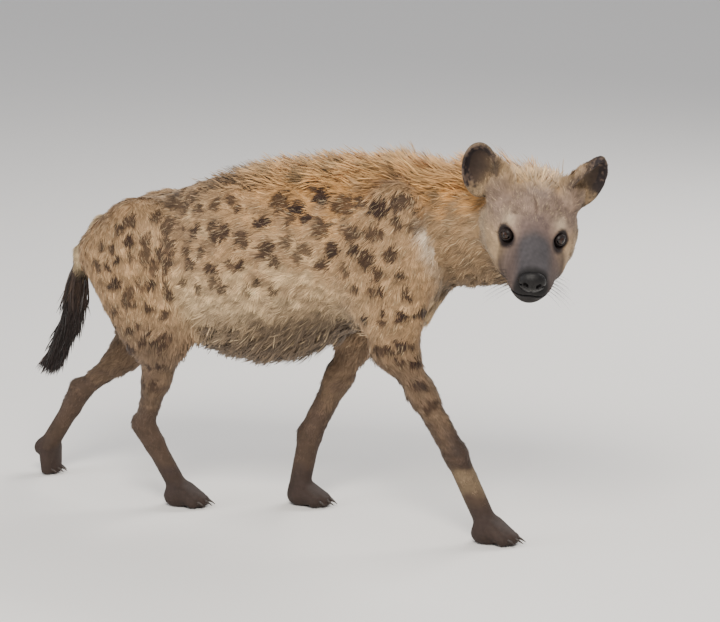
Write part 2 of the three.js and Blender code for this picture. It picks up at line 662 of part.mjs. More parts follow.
// The mouth line: a thin bent slab that a core inside the muzzle keeps shallow.
const MOUTH = { thick: 2.6, deep: 6 };
const mouthCurve = new THREE.SplineCurve([
  new THREE.Vector2(135, -62), new THREE.Vector2(104, -62), new THREE.Vector2(78, -70),
  new THREE.Vector2(46, -73), new THREE.Vector2(14, -66), new THREE.Vector2(2, -58),
]);
const mouthLine = mouthCurve.getPoints(10);
const mouthShape = new THREE.Shape([
  ...mouthLine.map((p) => new THREE.Vector2(p.x, p.y + MOUTH.thick / 2)),
  ...mouthLine.reverse().map((p) => new THREE.Vector2(p.x, p.y - MOUTH.thick / 2)),
]);
const slab = new THREE.ExtrudeGeometry(mouthShape, { depth: 160, bevelEnabled: false });
slab.rotateX(Math.PI / 2);
slab.translate(0, 80, 0);
const shrunk = (p) => headFlesh(p) + MOUTH.deep;
const mouthCore = solid(
  meshField(shrunk, gridLine([[-60], [130, 9]]), evenly(-85, 85, 10), evenly(-125, 10, 9)),
);
head = head.subtract(solid(slab).subtract(mouthCore));

// The nose pad, with its two nostrils. It meets the muzzle on a rounded face.
const NOSE_PAD = { at: vec(114, 0, -27), rx: 19, ry: 27.5, rz: 22 };
function noseSpace(grow) {
  const { at, rx, ry, rz } = NOSE_PAD;
  const pad = new THREE.SphereGeometry(1, 12, 9).scale(rx + grow, ry + grow, rz + grow);
  return solid(pad.translate(at.x, at.y, at.z));
}
const noseMesh = solid(
  meshField(headFlesh, evenly(86, 140, 9), evenly(-40, 40, 8.9), evenly(-58, 10, 8.6)),
);
let nose = noseMesh.intersect(noseSpace(-GAP / 2));
for (const side of [-1, 1]) {
  const hole = new THREE.SphereGeometry(1, 8, 6).scale(9, 5.4, 3.8);
  hole.rotateZ(side * 0.75).rotateX(side * 0.35).translate(125, side * 13.5, -28);
  nose = nose.subtract(solid(hole));
}
head = head.subtract(noseSpace(GAP / 2));

// The ears, each meeting the head on a flat face at its root.
for (const [name, ear, { shape, frame }] of ears) {
  const rootAt = ear.at.clone().addScaledVector(ear.rootNormal, -34);
  const local = (p) => {
    const q = p.clone().applyMatrix4(frame);
    return smin(headFlesh(q), shape(q), 9);
  };
  const mesh = solid(
    meshField(local, evenly(-34, 30, 6.6), evenly(-52, 52, 12), evenly(-76, 76, 13.5)),
    frame,
  );
  const cut = largest(keepBeyond(mesh, rootAt, ear.rootNormal));
  head = head.subtract(
    beyond(rootAt, ear.rootNormal, { wide: 170, deep: 150, offset: -GAP / 2 }),
  );
  nodes[name] = [cut, "ear", HEAD_FRAME];
}
nodes.head = [head, "head", HEAD_FRAME];
nodes.nose = [nose, "nose", HEAD_FRAME];

// The finished group stands on the floor with its box centred over the origin.
const hyena = new THREE.Group();
for (const [name, [made, look, frame]] of Object.entries(nodes)) {
  const material = new THREE.MeshStandardMaterial({
    color: COLOURS[look], roughness: look === "eye" ? 0.08 : 0.85, metalness: 0,
    flatShading: true,
  });
  const mesh = new THREE.Mesh(geometryOf(largest(made)), material);
  mesh.name = name;
  if (frame) mesh.applyMatrix4(frame);
  hyena.add(mesh);
}
const box = new THREE.Box3().setFromObject(hyena, true);
const middle = box.getCenter(vec(0, 0, 0));
hyena.position.set(-middle.x, -middle.y, -box.min.z);

export default hyena;
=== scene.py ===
"""A spotted hyena, life size, walking with its head turned to its right.

The flesh is one smooth field of rounded masses, in millimetres, round the same named joints
as the solids. It is meshed as one skin. Short, tapered blades of fur are grown over the skin
along the lie of the coat, and skin and fur take their colours from one set of markings.
"""
import math

import bpy
import numpy as np
from mathutils import Matrix, Vector
from multiprocessing.pool import ThreadPool

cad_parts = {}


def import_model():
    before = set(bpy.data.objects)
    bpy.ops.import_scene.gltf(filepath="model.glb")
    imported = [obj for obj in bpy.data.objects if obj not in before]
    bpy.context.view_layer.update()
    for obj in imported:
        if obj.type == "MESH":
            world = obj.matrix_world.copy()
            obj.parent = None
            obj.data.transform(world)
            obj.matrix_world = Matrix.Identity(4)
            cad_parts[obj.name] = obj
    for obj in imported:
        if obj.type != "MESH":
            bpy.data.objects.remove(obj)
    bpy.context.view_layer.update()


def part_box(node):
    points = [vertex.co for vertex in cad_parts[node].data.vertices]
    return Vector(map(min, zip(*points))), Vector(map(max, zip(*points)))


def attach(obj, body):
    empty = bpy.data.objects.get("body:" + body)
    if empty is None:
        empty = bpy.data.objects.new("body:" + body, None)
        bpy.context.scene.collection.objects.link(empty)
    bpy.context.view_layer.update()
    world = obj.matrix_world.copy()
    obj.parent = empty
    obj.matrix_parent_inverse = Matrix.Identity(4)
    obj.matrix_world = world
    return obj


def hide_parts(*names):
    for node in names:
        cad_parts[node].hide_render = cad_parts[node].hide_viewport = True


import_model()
MM = 0.001
BODY = "root"


def V(*c):
    return np.array(c, float)


def unit(v):
    return v / np.maximum(np.linalg.norm(v, axis=-1, keepdims=True), 1e-9)


def ramp(x, low, high):
    """A smooth step: 0 below low, 1 above high."""
    t = np.clip((x - low) / (high - low), 0, 1)
    return t * t * (3 - 2 * t)


def mix(a, b, t):
    return a + (b - a) * t[:, None]


def circle(turns):
    return np.linspace(0, 2 * math.pi, turns, endpoint=False)


# Joints, in the animal's own frame: the ground under its body, +X forward, +Y to its left.
LEGS = {
    "fore_right": dict(
        root=V(300, -88, 540), bend=V(288, -100, 385), wrist=V(410, -82, 178),
        ball=V(468, -70, 50), toe=V(524, -68, 13),
    ),
    "fore_left": dict(
        root=V(255, 85, 540), bend=V(118, 92, 368), wrist=V(12, 66, 150),
        ball=V(-8, 58, 42), toe=V(46, 56, 13),
    ),
    "hind_right": dict(
        root=V(-305, -80, 560), bend=V(-225, -112, 372), wrist=V(-300, -80, 168),
        ball=V(-236, -62, 46), toe=V(-182, -58, 13),
    ),
    "hind_left": dict(
        root=V(-320, 80, 560), bend=V(-375, 112, 330), wrist=V(-545, 84, 190),
        ball=V(-626, 76, 62), toe=V(-614, 74, 12),
    ),
}
JOINTS = ("root", "bend", "wrist", "ball")
TAIL = [(V(-436, 0, 560), 34), (V(-484, 0, 505), 25), (V(-500, 0, 440), 20)]
BRUSH = [V(-498, 0, 470), V(-510, 0, 400), V(-540, 0, 320), V(-586, 0, 240)]

# The head's own frame has its origin midway between the eyes, +x to the nose, +z to the crown.
HEAD_AT = V(609.5, -168, 644)
HEAD_TURN = dict(yaw=-66, pitch=25, roll=-6.5)
EYE_SPREAD = 49.5
EYE_R = 12.5
EAR_THICK = 22
EAR_BROW = V(0, -0.8, 0.6)
EARS = {
    "ear_right": dict(at=V(-98, -112, 76), wide=37, tall=64, yaw=-4, lean=8, brow=100),
    "ear_left": dict(at=V(-98, 97, 76), wide=41, tall=65, yaw=25, lean=-9, brow=25),
}
NOSE_PAD = dict(at=V(114, 0, -27), radii=(19, 27.5, 22))


# Rounded masses and how they blend.
def smin(a, b, k):
    h = np.clip(0.5 + 0.5 * (b - a) / k, 0, 1)
    return b * (1 - h) + a * h - k * h * (1 - h)


def smax(a, b, k):
    return -smin(-a, -b, k)


def build(k, first, *others):
    """Blend masses one after another, over k millimetres or the width that one brings along."""
    for other in others:
        width, mass = other if isinstance(other, tuple) else (k, other)
        first = smin(first, mass, width)
    return first


def rot(yaw=0.0, pitch=0.0, roll=0.0):
    y, p, r = (math.radians(a) for a in (yaw, pitch, roll))
    cy, sy, cp, sp, cr, sr = (
        math.cos(y), math.sin(y), math.cos(p), math.sin(p), math.cos(r), math.sin(r),
    )
    rz = np.array([[cy, -sy, 0], [sy, cy, 0], [0, 0, 1]])
    ry = np.array([[cp, 0, sp], [0, 1, 0], [-sp, 0, cp]])
    rx = np.array([[1, 0, 0], [0, cr, -sr], [0, sr, cr]])
    return rz @ ry @ rx


def ball(p, centre, radii, turn=None):
    q = p - centre
    if turn is not None:
        q = q @ turn
    r = np.array(radii, float)
    k0 = np.sqrt(((q / r) ** 2).sum(1))
    k1 = np.sqrt(((q / r**2) ** 2).sum(1))
    return k0 * (k0 - 1) / np.maximum(k1, 1e-9)


def cone(p, a, b, ra, rb, flat=1.0):
    along = b - a
    q = p - a
    t = np.clip(q @ along / (along @ along), 0, 1)
    q = q - t[:, None] * along
    q[:, 1] /= flat
    return (np.sqrt((q**2).sum(1)) - (ra + (rb - ra) * t)) * min(1.0, flat)


def torso_flesh(p):
    return build(
        60,
        ball(p, V(105, 0, 563), (255, 146, 166)),
        ball(p, V(-60, 0, 496), (230, 164, 180)),
        ball(p, V(-95, 0, 598), (205, 114, 102)),
        ball(p, V(-305, 0, 528), (146, 116, 112)),
        ball(p, V(215, 0, 632), (150, 90, 98)),
        ball(p, V(246, 0, 510), (94, 110, 126)),
    )


def neck_flesh(p):
    upper = cone(p, V(280, 0, 632), V(528, -35, 634), 108, 106, 0.88)
    return smin(upper, cone(p, V(320, 0, 580), V(515, -38, 606), 92, 96, 0.8), 30)


def foreleg(p, leg):
    root, bend, wrist, ball_at = (leg[k] for k in JOINTS)
    shin = wrist - bend
    return build(
        40,
        ball(p, root + V(-35, 0, 45), (80, 50, 140), rot(0, 14, 0)),
        cone(p, root, bend, 70, 52, 0.72),
        cone(p, root + V(-60, 0, 20), bend + V(-18, 0, 12), 66, 42, 0.6),
        (25, cone(p, bend, bend + shin * 0.45, 42, 34, 0.85)),
        (20, cone(p, bend + shin * 0.4, wrist, 34, 29, 0.9)),
        (14, cone(p, wrist, ball_at, 28, 24, 0.95)),
    )


def hindleg(p, leg):
    root, bend, wrist, ball_at = (leg[k] for k in JOINTS)
    shin = wrist - bend
    heel_end = wrist + (ball_at - wrist) * 0.3
    return build(
        40,
        ball(p, root * 0.6 + bend * 0.4 + V(-12, 0, 10), (98, 60, 145), rot(0, -18, 0)),
        cone(p, root, bend, 92, 56, 0.62),
        (45, cone(p, root + V(-90, 0, -40), bend + V(-62, 0, -20), 62, 42, 0.7)),
        (30, cone(p, bend, bend + shin * 0.5, 52, 36, 0.8)),
        (20, cone(p, bend + shin * 0.45, wrist, 36, 25, 0.85)),
        (14, cone(p, wrist + V(-10, 0, 6), heel_end, 24, 23, 0.85)),
        (14, cone(p, wrist, ball_at, 25, 22, 0.95)),
    )


def leg_flesh(p, name):
    return (foreleg if "fore" in name else hindleg)(p, LEGS[name])


TOE_PLACES = (-1.5, -0.5, 0.5, 1.5)


def is_pushing(leg):
    d = leg["toe"] - leg["ball"]
    return abs(d[2]) > abs(d[0])


def ahead_of(leg):
    d = (leg["toe"] - leg["ball"]) * V(1, 1, 0)
    return d / np.linalg.norm(d)


def toes_of(leg):
    """Where the four toes of a paw start and end, with their radii and the way they point."""
    at, tip, ahead = leg["ball"], leg["toe"], ahead_of(leg)
    out = []
    for k in TOE_PLACES:
        inner = abs(k) < 1
        if is_pushing(leg):
            side = V(0, 1, 0)
            start = at + V(4, 0, -6) + side * k * 11
            end = tip + V(4 if inner else -5, 0, 0) + side * k * 14
            out.append((start, end, 19, 14, V(1, 0, 0)))
        else:
            side = V(-ahead[1], ahead[0], 0)
            start = at + V(0, 0, -14) + ahead * 18 + side * k * 12
            end = tip + side * k * 15 + ahead * (4 if inner else -8)
            out.append((start, end, 17, 14.5, ahead))
    return out


def paw(p, leg):
    if is_pushing(leg):
        f = ball(p, leg["ball"] + V(-13, 0, -6), (20, 28, 20))
    else:
        centre = leg["ball"] * V(1, 1, 0) + V(0, 0, 20) + ahead_of(leg) * 8
        f = ball(p, centre, (36, 34, 27))
    return build(7, f, *(cone(p, a, b, r0, r1) for a, b, r0, r1, _ in toes_of(leg)))


def tail_flesh(p):
    return build(10, *(cone(p, a, b, ra, rb) for (a, ra), (b, rb) in zip(TAIL, TAIL[1:])))


def ear_frame(e):
    return rot(0, 0, e["lean"]) @ rot(e["yaw"], 0, 0)


def in_ear(q, e):
    return (q - e["at"]) @ ear_frame(e)


def ear_flesh(p, e):
    q = in_ear(p, e)
    wide, tall = e["wide"], e["tall"]
    outer = ball(q, V(0, 0, 0), (EAR_THICK, wide, tall))
    hollow = ball(q, V(13, 0, 4), (EAR_THICK + 3, wide - 7, tall - 9))
    over = q @ EAR_BROW - e["brow"]
    outer = smax(outer, over, 6)
    hollow = smax(hollow, over + 7, 8)
    return smax(smax(outer, -hollow, 4), q[:, 0] - 9, 3)


def both_sides(q):
    """Points of the head with those of its right side mirrored to the left."""
    q = q.copy()
    q[:, 1] = np.abs(q[:, 1])
    return q


def head_flesh(p):
    """The head without its ears, in its own frame."""
    q = both_sides(p)
    f = build(
        20,
        ball(q, V(-80, 0, -6), (88, 80, 64)),
        (25, ball(q, V(-38, 0, 6), (60, 60, 36))),
        (28, ball(q, V(-66, 56, -34), (62, 38, 54))),
        (26, ball(q, V(-12, 42, -48), (64, 32, 42))),
        (18, ball(q, V(-94, 68, 34), (34, 29, 35))),
        (12, cone(q, V(-100, 56, 56), V(-100, 80, 94), 13, 7)),
        (26, cone(q, V(-5, 0, -20), V(82, 0, -38), 46, 37)),
        cone(q, V(-5, 0, 4), V(92, 0, -17), 24, 20, 1.35),
        (14, ball(q, V(60, 24, -47), (54, 25, 28), rot(-8, 8, 0))),
        cone(q, V(-45, 0, -88), V(76, 0, -75), 42, 24, 1.2),
        (12, ball(q, V(-12, 40, 12), (26, 18, 12))),
        (7, ball(q, V(108, 0, -27), (20, 27, 21))),
    )
    return smax(f, -ball(q, V(8, EYE_SPREAD + 2, 0), (13, 15, 13)), 8)


HEAD_ROT = rot(**HEAD_TURN)


def to_head(p):
    return (p - HEAD_AT) @ HEAD_ROT


def from_head(q):
    return q @ HEAD_ROT.T + HEAD_AT


def from_eye(q):
    """How far points of the head lie from the middle of the nearer eye."""
    return np.sqrt(q[:, 0] ** 2 + (np.abs(q[:, 1]) - EYE_SPREAD) ** 2 + q[:, 2] ** 2)


# The shift from the animal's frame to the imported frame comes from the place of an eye.
eye_low, eye_high = (np.array(c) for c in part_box("eye_right"))
SHIFT = (eye_low + eye_high) / 2 / MM - from_head(V(0, -EYE_SPREAD, 0))
SHIFT[2] = 0.0


def world(p):
    """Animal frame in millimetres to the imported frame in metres."""
    return (p + SHIFT) * MM


# Smooth noise: a sum of seeded plane waves, from about -1 to 1.
class Waves:
    def __init__(self, seed, size, count=10):
        r = np.random.default_rng(seed)
        way = r.normal(size=(count, 3))
        way /= np.linalg.norm(way, axis=1)[:, None]
        self.k = way * (2 * math.pi / (size * r.uniform(0.7, 1.6, count)))[:, None]
        self.phase = r.uniform(0, 2 * math.pi, count)
        self.scale = 1.6 / count**0.5 / 1.1

    def __call__(self, p):
        out = np.zeros(len(p))
        for k, ph in zip(self.k, self.phase):
            out += np.sin(p @ k + ph)
        return out * self.scale


# What part of the body each point belongs to, as soft shares that add up to one: torso, neck,
# head, tail, four legs and two ears, with how much each one's distance is set back.
BIAS = V(0, 4, -6, -8, 0, 0, 0, 0, -10, -10)
SHARE_WIDTH = 9.0
PAW_BLEND = 14


def whole(p):
    """The outer form of the whole animal."""
    q = to_head(p)
    trunk = smin(torso_flesh(p), neck_flesh(p), 50)
    legs = [
        build(45, trunk, leg_flesh(p, name), (PAW_BLEND, paw(p, leg)))
        for name, leg in LEGS.items()
    ]
    head = build(9, head_flesh(q), *(ear_flesh(q, e) for e in EARS.values()))
    return build(30, np.minimum.reduce(legs), head, (25, tail_flesh(p)))


def shares(p):
    q = to_head(p)
    d = [torso_flesh(p), neck_flesh(p), head_flesh(q), tail_flesh(p)]
    d += [smin(leg_flesh(p, name), paw(p, leg), PAW_BLEND) for name, leg in LEGS.items()]
    d += [ear_flesh(q, e) for e in EARS.values()]
    stack = np.stack(d, 1) + BIAS
    w = np.exp(-(stack - stack.min(1, keepdims=True)) / SHARE_WIDTH)
    return w / w.sum(1, keepdims=True)


def head_of(w):
    return w[:, 2]


def legs_of(w):
    return w[:, 4:8].sum(1)


def ears_of(w):
    return w[:, 8:10].sum(1)


LEG_TOP = 400


def low_leg(p):
    """How far down the leg a point lies: 0 at the belly, 1 at the floor."""
    return np.clip((LEG_TOP - p[:, 2]) / LEG_TOP, 0, 1)


# How deep the coat is, and how long its hair, in millimetres.
def part_value(w, torso, neck, head, tail, leg, ear):
    out = w[:, 0] * torso + w[:, 1] * neck + w[:, 2] * head + w[:, 3] * tail
    out = out + legs_of(w) * leg
    return out + ears_of(w) * ear


def coat_depth(p, w):
    leg = 9 - 7.2 * ramp(low_leg(p), 0.15, 0.95)
    face = 1.4 + 3.4 * ramp(-to_head(p)[:, 0], -40, 90)
    return part_value(w, 12, 13, face, 5, leg, 1.0)


COAT_REACH = 30
SKIN_FLOOR = 1.0


def skin_field(p):
    f = whole(p)
    near = np.abs(f) < COAT_REACH
    if near.any():
        f[near] += coat_depth(p[near], shares(p[near]))
    return np.maximum(f, SKIN_FLOOR - p[:, 2])


# The mouth line of each side, in the head's frame: (forward, up) from the chin to the corner.
MOUTH = [(128, -61), (104, -62), (78, -70), (46, -73), (14, -66), (0, -57)]


def line_distance(x, z, points):
    d = np.full(len(x), 1e6)
    for (x0, z0), (x1, z1) in zip(points, points[1:]):
        vx, vz = x1 - x0, z1 - z0
        t = np.clip(((x - x0) * vx + (z - z0) * vz) / (vx * vx + vz * vz), 0, 1)
        d = np.minimum(d, np.hypot(x - x0 - t * vx, z - z0 - t * vz))
    return d


def nose_pad(q):
    """How far a point of the head lies outside the ball that bounds the nose pad."""
    return ball(q, NOSE_PAD["at"], NOSE_PAD["radii"])


def mouth_distance(q):
    return line_distance(q[:, 0], q[:, 2], MOUTH)


def head_skin_field(q):
    """The skin near the head, in the head's frame, with its lips and room for the nose pad."""
    f = skin_field(from_head(q))
    groove = np.maximum(mouth_distance(q) - 1.5, -(f + 4.5))
    near = (q[:, 0] > -8) & (q[:, 2] < -30)
    f = np.where(near, smax(f, -groove, 1.5), f)
    return f + 6 * (1 - ramp(nose_pad(q), -4, 0))


# Meshing a field by surface nets, working it out in full only near the surface. Far blocks get
# the value FAR with the sign of their middle.
FAR = 1e3
BLOCK = 8
CHUNK = 60000


def all_of(*lines):
    """Every combination of the values on three lines, one to a row."""
    return np.stack(np.meshgrid(*lines, indexing="ij"), -1).reshape(-1, 3)


def sample_grid(field, lines):
    shape = tuple(len(a) for a in lines)
    out = np.full(shape, FAR, np.float32)
    starts = [np.arange(0, n, BLOCK) for n in shape]
    middle, half = [], []
    for a, i in zip(lines, starts):
        j = np.minimum(i + BLOCK, len(a) - 1)
        middle.append((a[i] + a[j]) / 2)
        half.append((a[j] - a[i]) / 2)
    reach = np.linalg.norm(all_of(*half), axis=1)
    value = field(all_of(*middle))
    near = np.abs(value) < reach * 1.5 + 8
    wanted = np.zeros(shape, bool)
    for corner, v, is_near in zip(all_of(*starts), value, near):
        here = tuple(slice(i, i + BLOCK + 1) for i in corner)
        if is_near:
            wanted[here] = True
        else:
            out[here] = math.copysign(FAR, v)
    flat = np.flatnonzero(wanted)
    chunks = np.array_split(flat, max(1, len(flat) // CHUNK))

    def work(chunk):
        at = np.unravel_index(chunk, shape)
        return field(np.stack([a[i] for a, i in zip(lines, at)], 1))

    with ThreadPool(4) as pool:
        for chunk, got in zip(chunks, pool.map(work, chunks)):
            out.reshape(-1)[chunk] = got
    return out


def mesh_field(field, *lines):
    """The surface where a field is zero: one point in each cell it crosses, one quad an edge."""
    values = sample_grid(field, lines)
    inside = values < 0
    shape = np.array(values.shape)
    steps = all_of((0, 1), (0, 1), (0, 1))
    count = np.zeros(shape - 1, np.int8)
    for step in steps:
        count += inside[tuple(slice(s, n - 1 + s) for s, n in zip(step, shape))]
    cells = np.argwhere((count > 0) & (count < 8))
    index = np.full(shape - 1, -1, np.int64)
    index[tuple(cells.T)] = np.arange(len(cells))
    total = np.zeros((len(cells), 3))
    hits = np.zeros(len(cells))

    def corner(step):
        at = cells + step
        place = np.stack([line[at[:, k]] for k, line in enumerate(lines)], 1)
        return values[tuple(at.T)].astype(float), place

    for u, a in enumerate(steps):
        for b in steps[u + 1 :]:
            if np.abs(a - b).sum() != 1:
                continue
            (fa, pa), (fb, pb) = corner(a), corner(b)
            crossed = (fa < 0) != (fb < 0)
            t = np.where(crossed, fa / np.where(crossed, fa - fb, 1), 0)
            total += np.where(crossed[:, None], pa + (pb - pa) * t[:, None], 0)
            hits += crossed
    quads = []
    for axis in range(3):
        others = ((axis + 1) % 3, (axis + 2) % 3)
        n = shape[axis]
        first = inside.take(range(n - 1), axis)
        edges = np.argwhere(first != inside.take(range(1, n), axis))
        ok = np.ones(len(edges), bool)
        for k in others:
            ok &= (edges[:, k] > 0) & (edges[:, k] < shape[k] - 1)
        edges = edges[ok]
        d0, d1 = (np.eye(3, dtype=int)[k] for k in others)
        loop = [edges - d0 - d1, edges - d1, edges, edges - d0]
        q = np.stack([index[tuple(e.T)] for e in loop], 1)
        quads.append(np.where(first[tuple(edges.T)][:, None], q, q[:, ::-1]))
    return total / hits[:, None], np.concatenate(quads)


def drop_faces(verts, quads, gone):
    quads = quads[~gone]
    used = np.unique(quads)
    number = np.full(len(verts), -1)
    number[used] = np.arange(len(used))
    return verts[used], number[quads]


def steps_line(*stops):
    """Grid lines from stops (place, step, place, step, ... place)."""
    out = []
    for a, step, b in zip(stops[::2], stops[1::2], stops[2::2]):
        n = max(1, round((b - a) / step))
        out.append(np.linspace(a, b, n, endpoint=False))
    out.append([stops[-1]])
    return np.concatenate(out)


def vertex_normals(verts, quads):
    a, b, c, d = (verts[quads[:, i]] for i in range(4))
    face = np.cross(c - a, d - b)
    out = np.zeros_like(verts)
    for i in range(4):
        np.add.at(out, quads[:, i], face)
    return out / np.maximum(np.linalg.norm(out, axis=1), 1e-9)[:, None]


# Colours, read as the photograph shows them and held as linear values.
def srgb(r, g, b):
    c = np.array([r, g, b]) / 255
    return np.where(c <= 0.04045, c / 12.92, ((c + 0.055) / 1.055) ** 2.4)


BUFF = srgb(174, 140, 102)
PALE = srgb(208, 182, 142)
WHITISH = srgb(228, 216, 196)
GREY_BUFF = srgb(146, 120, 90)
GOLD = srgb(192, 140, 80)
PALE_GOLD = srgb(208, 172, 122)
SPOT = srgb(50, 32, 23)
# A dark grey-brown that stands for painted shade on the underside of the belly.
BELLY_SHADE = srgb(66, 52, 43)
LEG = srgb(116, 94, 73)
SHANK = srgb(84, 67, 55)
PAW = srgb(66, 53, 47)
FACE = srgb(132, 111, 97)
NECK_SIDE = srgb(150, 121, 88)
BROW = srgb(174, 154, 130)
MAUVE = srgb(100, 84, 78)
MUZZLE = srgb(64, 61, 63)
MUZZLE_SIDE = srgb(72, 61, 58)
CHEEK = srgb(166, 140, 106)
EAR_DARK = srgb(50, 43, 45)
TUFT = srgb(30, 22, 20)
LID_DARK = srgb(34, 26, 24)
BLACK = srgb(20, 18, 18)
BAND = srgb(132, 112, 86)
IRIS = srgb(48, 28, 17)
EYE_RIM = srgb(120, 90, 78)
CLAW = srgb(52, 44, 40)
WHISKER_DARK = srgb(36, 30, 28)

# Rows of spots on the side of the body, as seen from the side: where each row starts and ends
# (x, z, x, z), how many spots it has, and the width, height and darkness of one of them.
SPOT_ROWS = [
    (-190, 694, 110, 762, 6, 64, 25, 0.75),
    (-120, 742, 30, 772, 2, 80, 26, 0.9),
    (-300, 640, 20, 726, 7, 49, 32, 0.83),
    (60, 720, 372, 728, 7, 44, 32, 0.98),
    (-345, 596, -30, 668, 9, 38, 34, 0.96),
    (10, 668, 386, 688, 8, 48, 38, 1.00),
    (-388, 560, -60, 622, 9, 30, 34, 0.98),
    (-20, 622, 384, 644, 8, 41, 36, 1.00),
    (-400, 512, -90, 584, 10, 28, 35, 0.96),
    (-50, 590, 330, 598, 8, 32, 38, 0.98),
    (-250, 524, -10, 552, 8, 27, 34, 0.98),
    (30, 556, 350, 552, 7, 29, 30, 0.93),
    (-220, 482, 60, 504, 8, 25, 30, 0.90),
    (190, 500, 380, 506, 5, 29, 28, 0.98),
    (210, 452, 380, 462, 5, 29, 25, 1.00),
    (-372, 470, -200, 486, 6, 28, 28, 0.98),
    (-360, 428, -196, 436, 5, 28, 24, 0.98),
    (-330, 388, -196, 392, 4, 29, 22, 1.00),
    (-318, 348, -206, 350, 4, 29, 21, 1.00),
    (230, 410, 372, 414, 4, 29, 24, 1.00),
    (290, 366, 392, 372, 3, 29, 25, 1.00),
    (-300, 306, -228, 306, 3, 28, 20, 0.98),
    (322, 326, 402, 330, 3, 32, 25, 0.98),
    (-300, 262, -250, 262, 2, 26, 20, 0.88),
    (352, 284, 420, 290, 2, 35, 28, 0.88),
]


def spots_on(verts, seed):
    """Centres and sizes of the spots, each set on the skin of its own side."""
    r = np.random.default_rng(seed)
    out = []
    for side in (-1, 1):
        v = verts[verts[:, 1] * side > 18]
        for x0, z0, x1, z1, count, wide, high, dark in SPOT_ROWS:
            for n in range(count):
                t = (n + 0.5 + r.uniform(-0.24, 0.24)) / count
                x = x0 + (x1 - x0) * t + r.uniform(-8, 8)
                z = z0 + (z1 - z0) * t + r.uniform(-15, 15)
                if side > 0:
                    x += 12 * math.sin(z / 31.0)
                    if z < 470:
                        x += -150 if x < 0 else -60
                near = (np.abs(v[:, 0] - x) < 7) & (np.abs(v[:, 2] - z) < 7)
                if not near.any():
                    continue
                at = v[near][np.argmax(np.abs(v[near][:, 1]))]
                grow = r.uniform(0.66, 1.2) * 0.5
                tilt = math.radians(r.uniform(-35, 35))
                tall = high * grow * r.uniform(0.8, 1.1)
                out.append((*at, wide * grow, tall, dark * r.uniform(0.8, 1.0), tilt))
    return np.array(out)


def spot_mask(p, spots, small):
    mask = np.zeros(len(p))
    jag = 0.16 * small
    for x, y, z, rx, rz, dark, tilt in spots:
        near = np.flatnonzero((np.abs(p[:, 0] - x) < 60) & (np.abs(p[:, 2] - z) < 60))
        if not len(near):
            continue
        d = p[near] - V(x, y, z)
        c, s = math.cos(tilt), math.sin(tilt)
        u = (c * d[:, 0] + s * d[:, 2]) / rx
        w = (-s * d[:, 0] + c * d[:, 2]) / rz
        far = np.sqrt(u * u + w * w + (d[:, 1] / (rx + rz)) ** 2)
        here = dark * (1 - ramp(far + jag[near], 0.8, 1.12))
        mask[near] = np.maximum(mask[near], here)
    return mask


SMALL = Waves(3, 9)
MIDDLE = Waves(4, 38)
BROAD = Waves(5, 170)


def gauss(*terms):
    """A soft patch: 1 in its middle, falling off with each (distance, width)."""
    return np.exp(-sum((d / width) ** 2 for d, width in terms))


def paint_over(base, *layers):
    """Lay layers (colour, how much) over a base colour, one after another."""
    if base.ndim == 1:
        base = np.tile(base, (len(layers[0][1]), 1))
    for colour, amount in layers:
        base = mix(base, colour, amount)
    return base


def trunk_colour(p, n, noise):
    """Golden along the top of the shoulders, buff on the flank, pale low down, with painted
    shade under the belly.
    """
    x, _, z = p.T
    top = ramp(n[:, 2] + 0.12 * noise, 0.1, 0.85)
    # Painted shade under the belly: below a wavy line, between the fore and hind legs.
    belly_shade_top = 424 + 48 * ramp(x, -120, 140) + 16 * noise
    under = ramp(belly_shade_top - z, -16, 44) * ramp(x, -300, -180) * (1 - ramp(x, 190, 250))
    return paint_over(
        BUFF,
        (GREY_BUFF, ramp(-x, 120, 420) * 0.75),
        (PALE, ramp(-z, -560, -440) * ramp(x, -330, -200) * 0.65),
        (PALE, ramp(0.5 * noise + 0.4 * BROAD(p), 0.25, 0.9) * 0.4),
        (SHANK * 1.5, ramp(-0.6 * noise - 0.4 * BROAD(p + 90), 0.3, 1.0) * 0.35),
        (GOLD, top * ramp(x, -170, 130) * 0.9),
        (GREY_BUFF * 0.75, top * ramp(-x, 60, 330) * 0.5),
        # Painted shade darkening the underside of the belly.
        (BELLY_SHADE, under * 0.85),
    )


def leg_colour(p, noise):
    """Darker towards the foot, with a pale band above the right fore paw."""
    x, _, z = p.T
    carpus = ramp(x, 390, 420) * (1 - ramp(np.abs(z - 205 - 10 * noise), 18, 52))
    band = ramp(x, 380, 420) * (1 - ramp(np.abs(z - 128 - 8 * noise), 18, 38))
    return paint_over(
        BUFF * 0.9,
        (LEG, ramp(-z, -470, -330)),
        (SHANK, ramp(-z + 22 * noise, -300, -170)),
        (PAW, carpus * 0.75),
        (BAND, band * 0.7),
        (PAW, ramp(-z + 10 * noise, -96, -52)),
    )


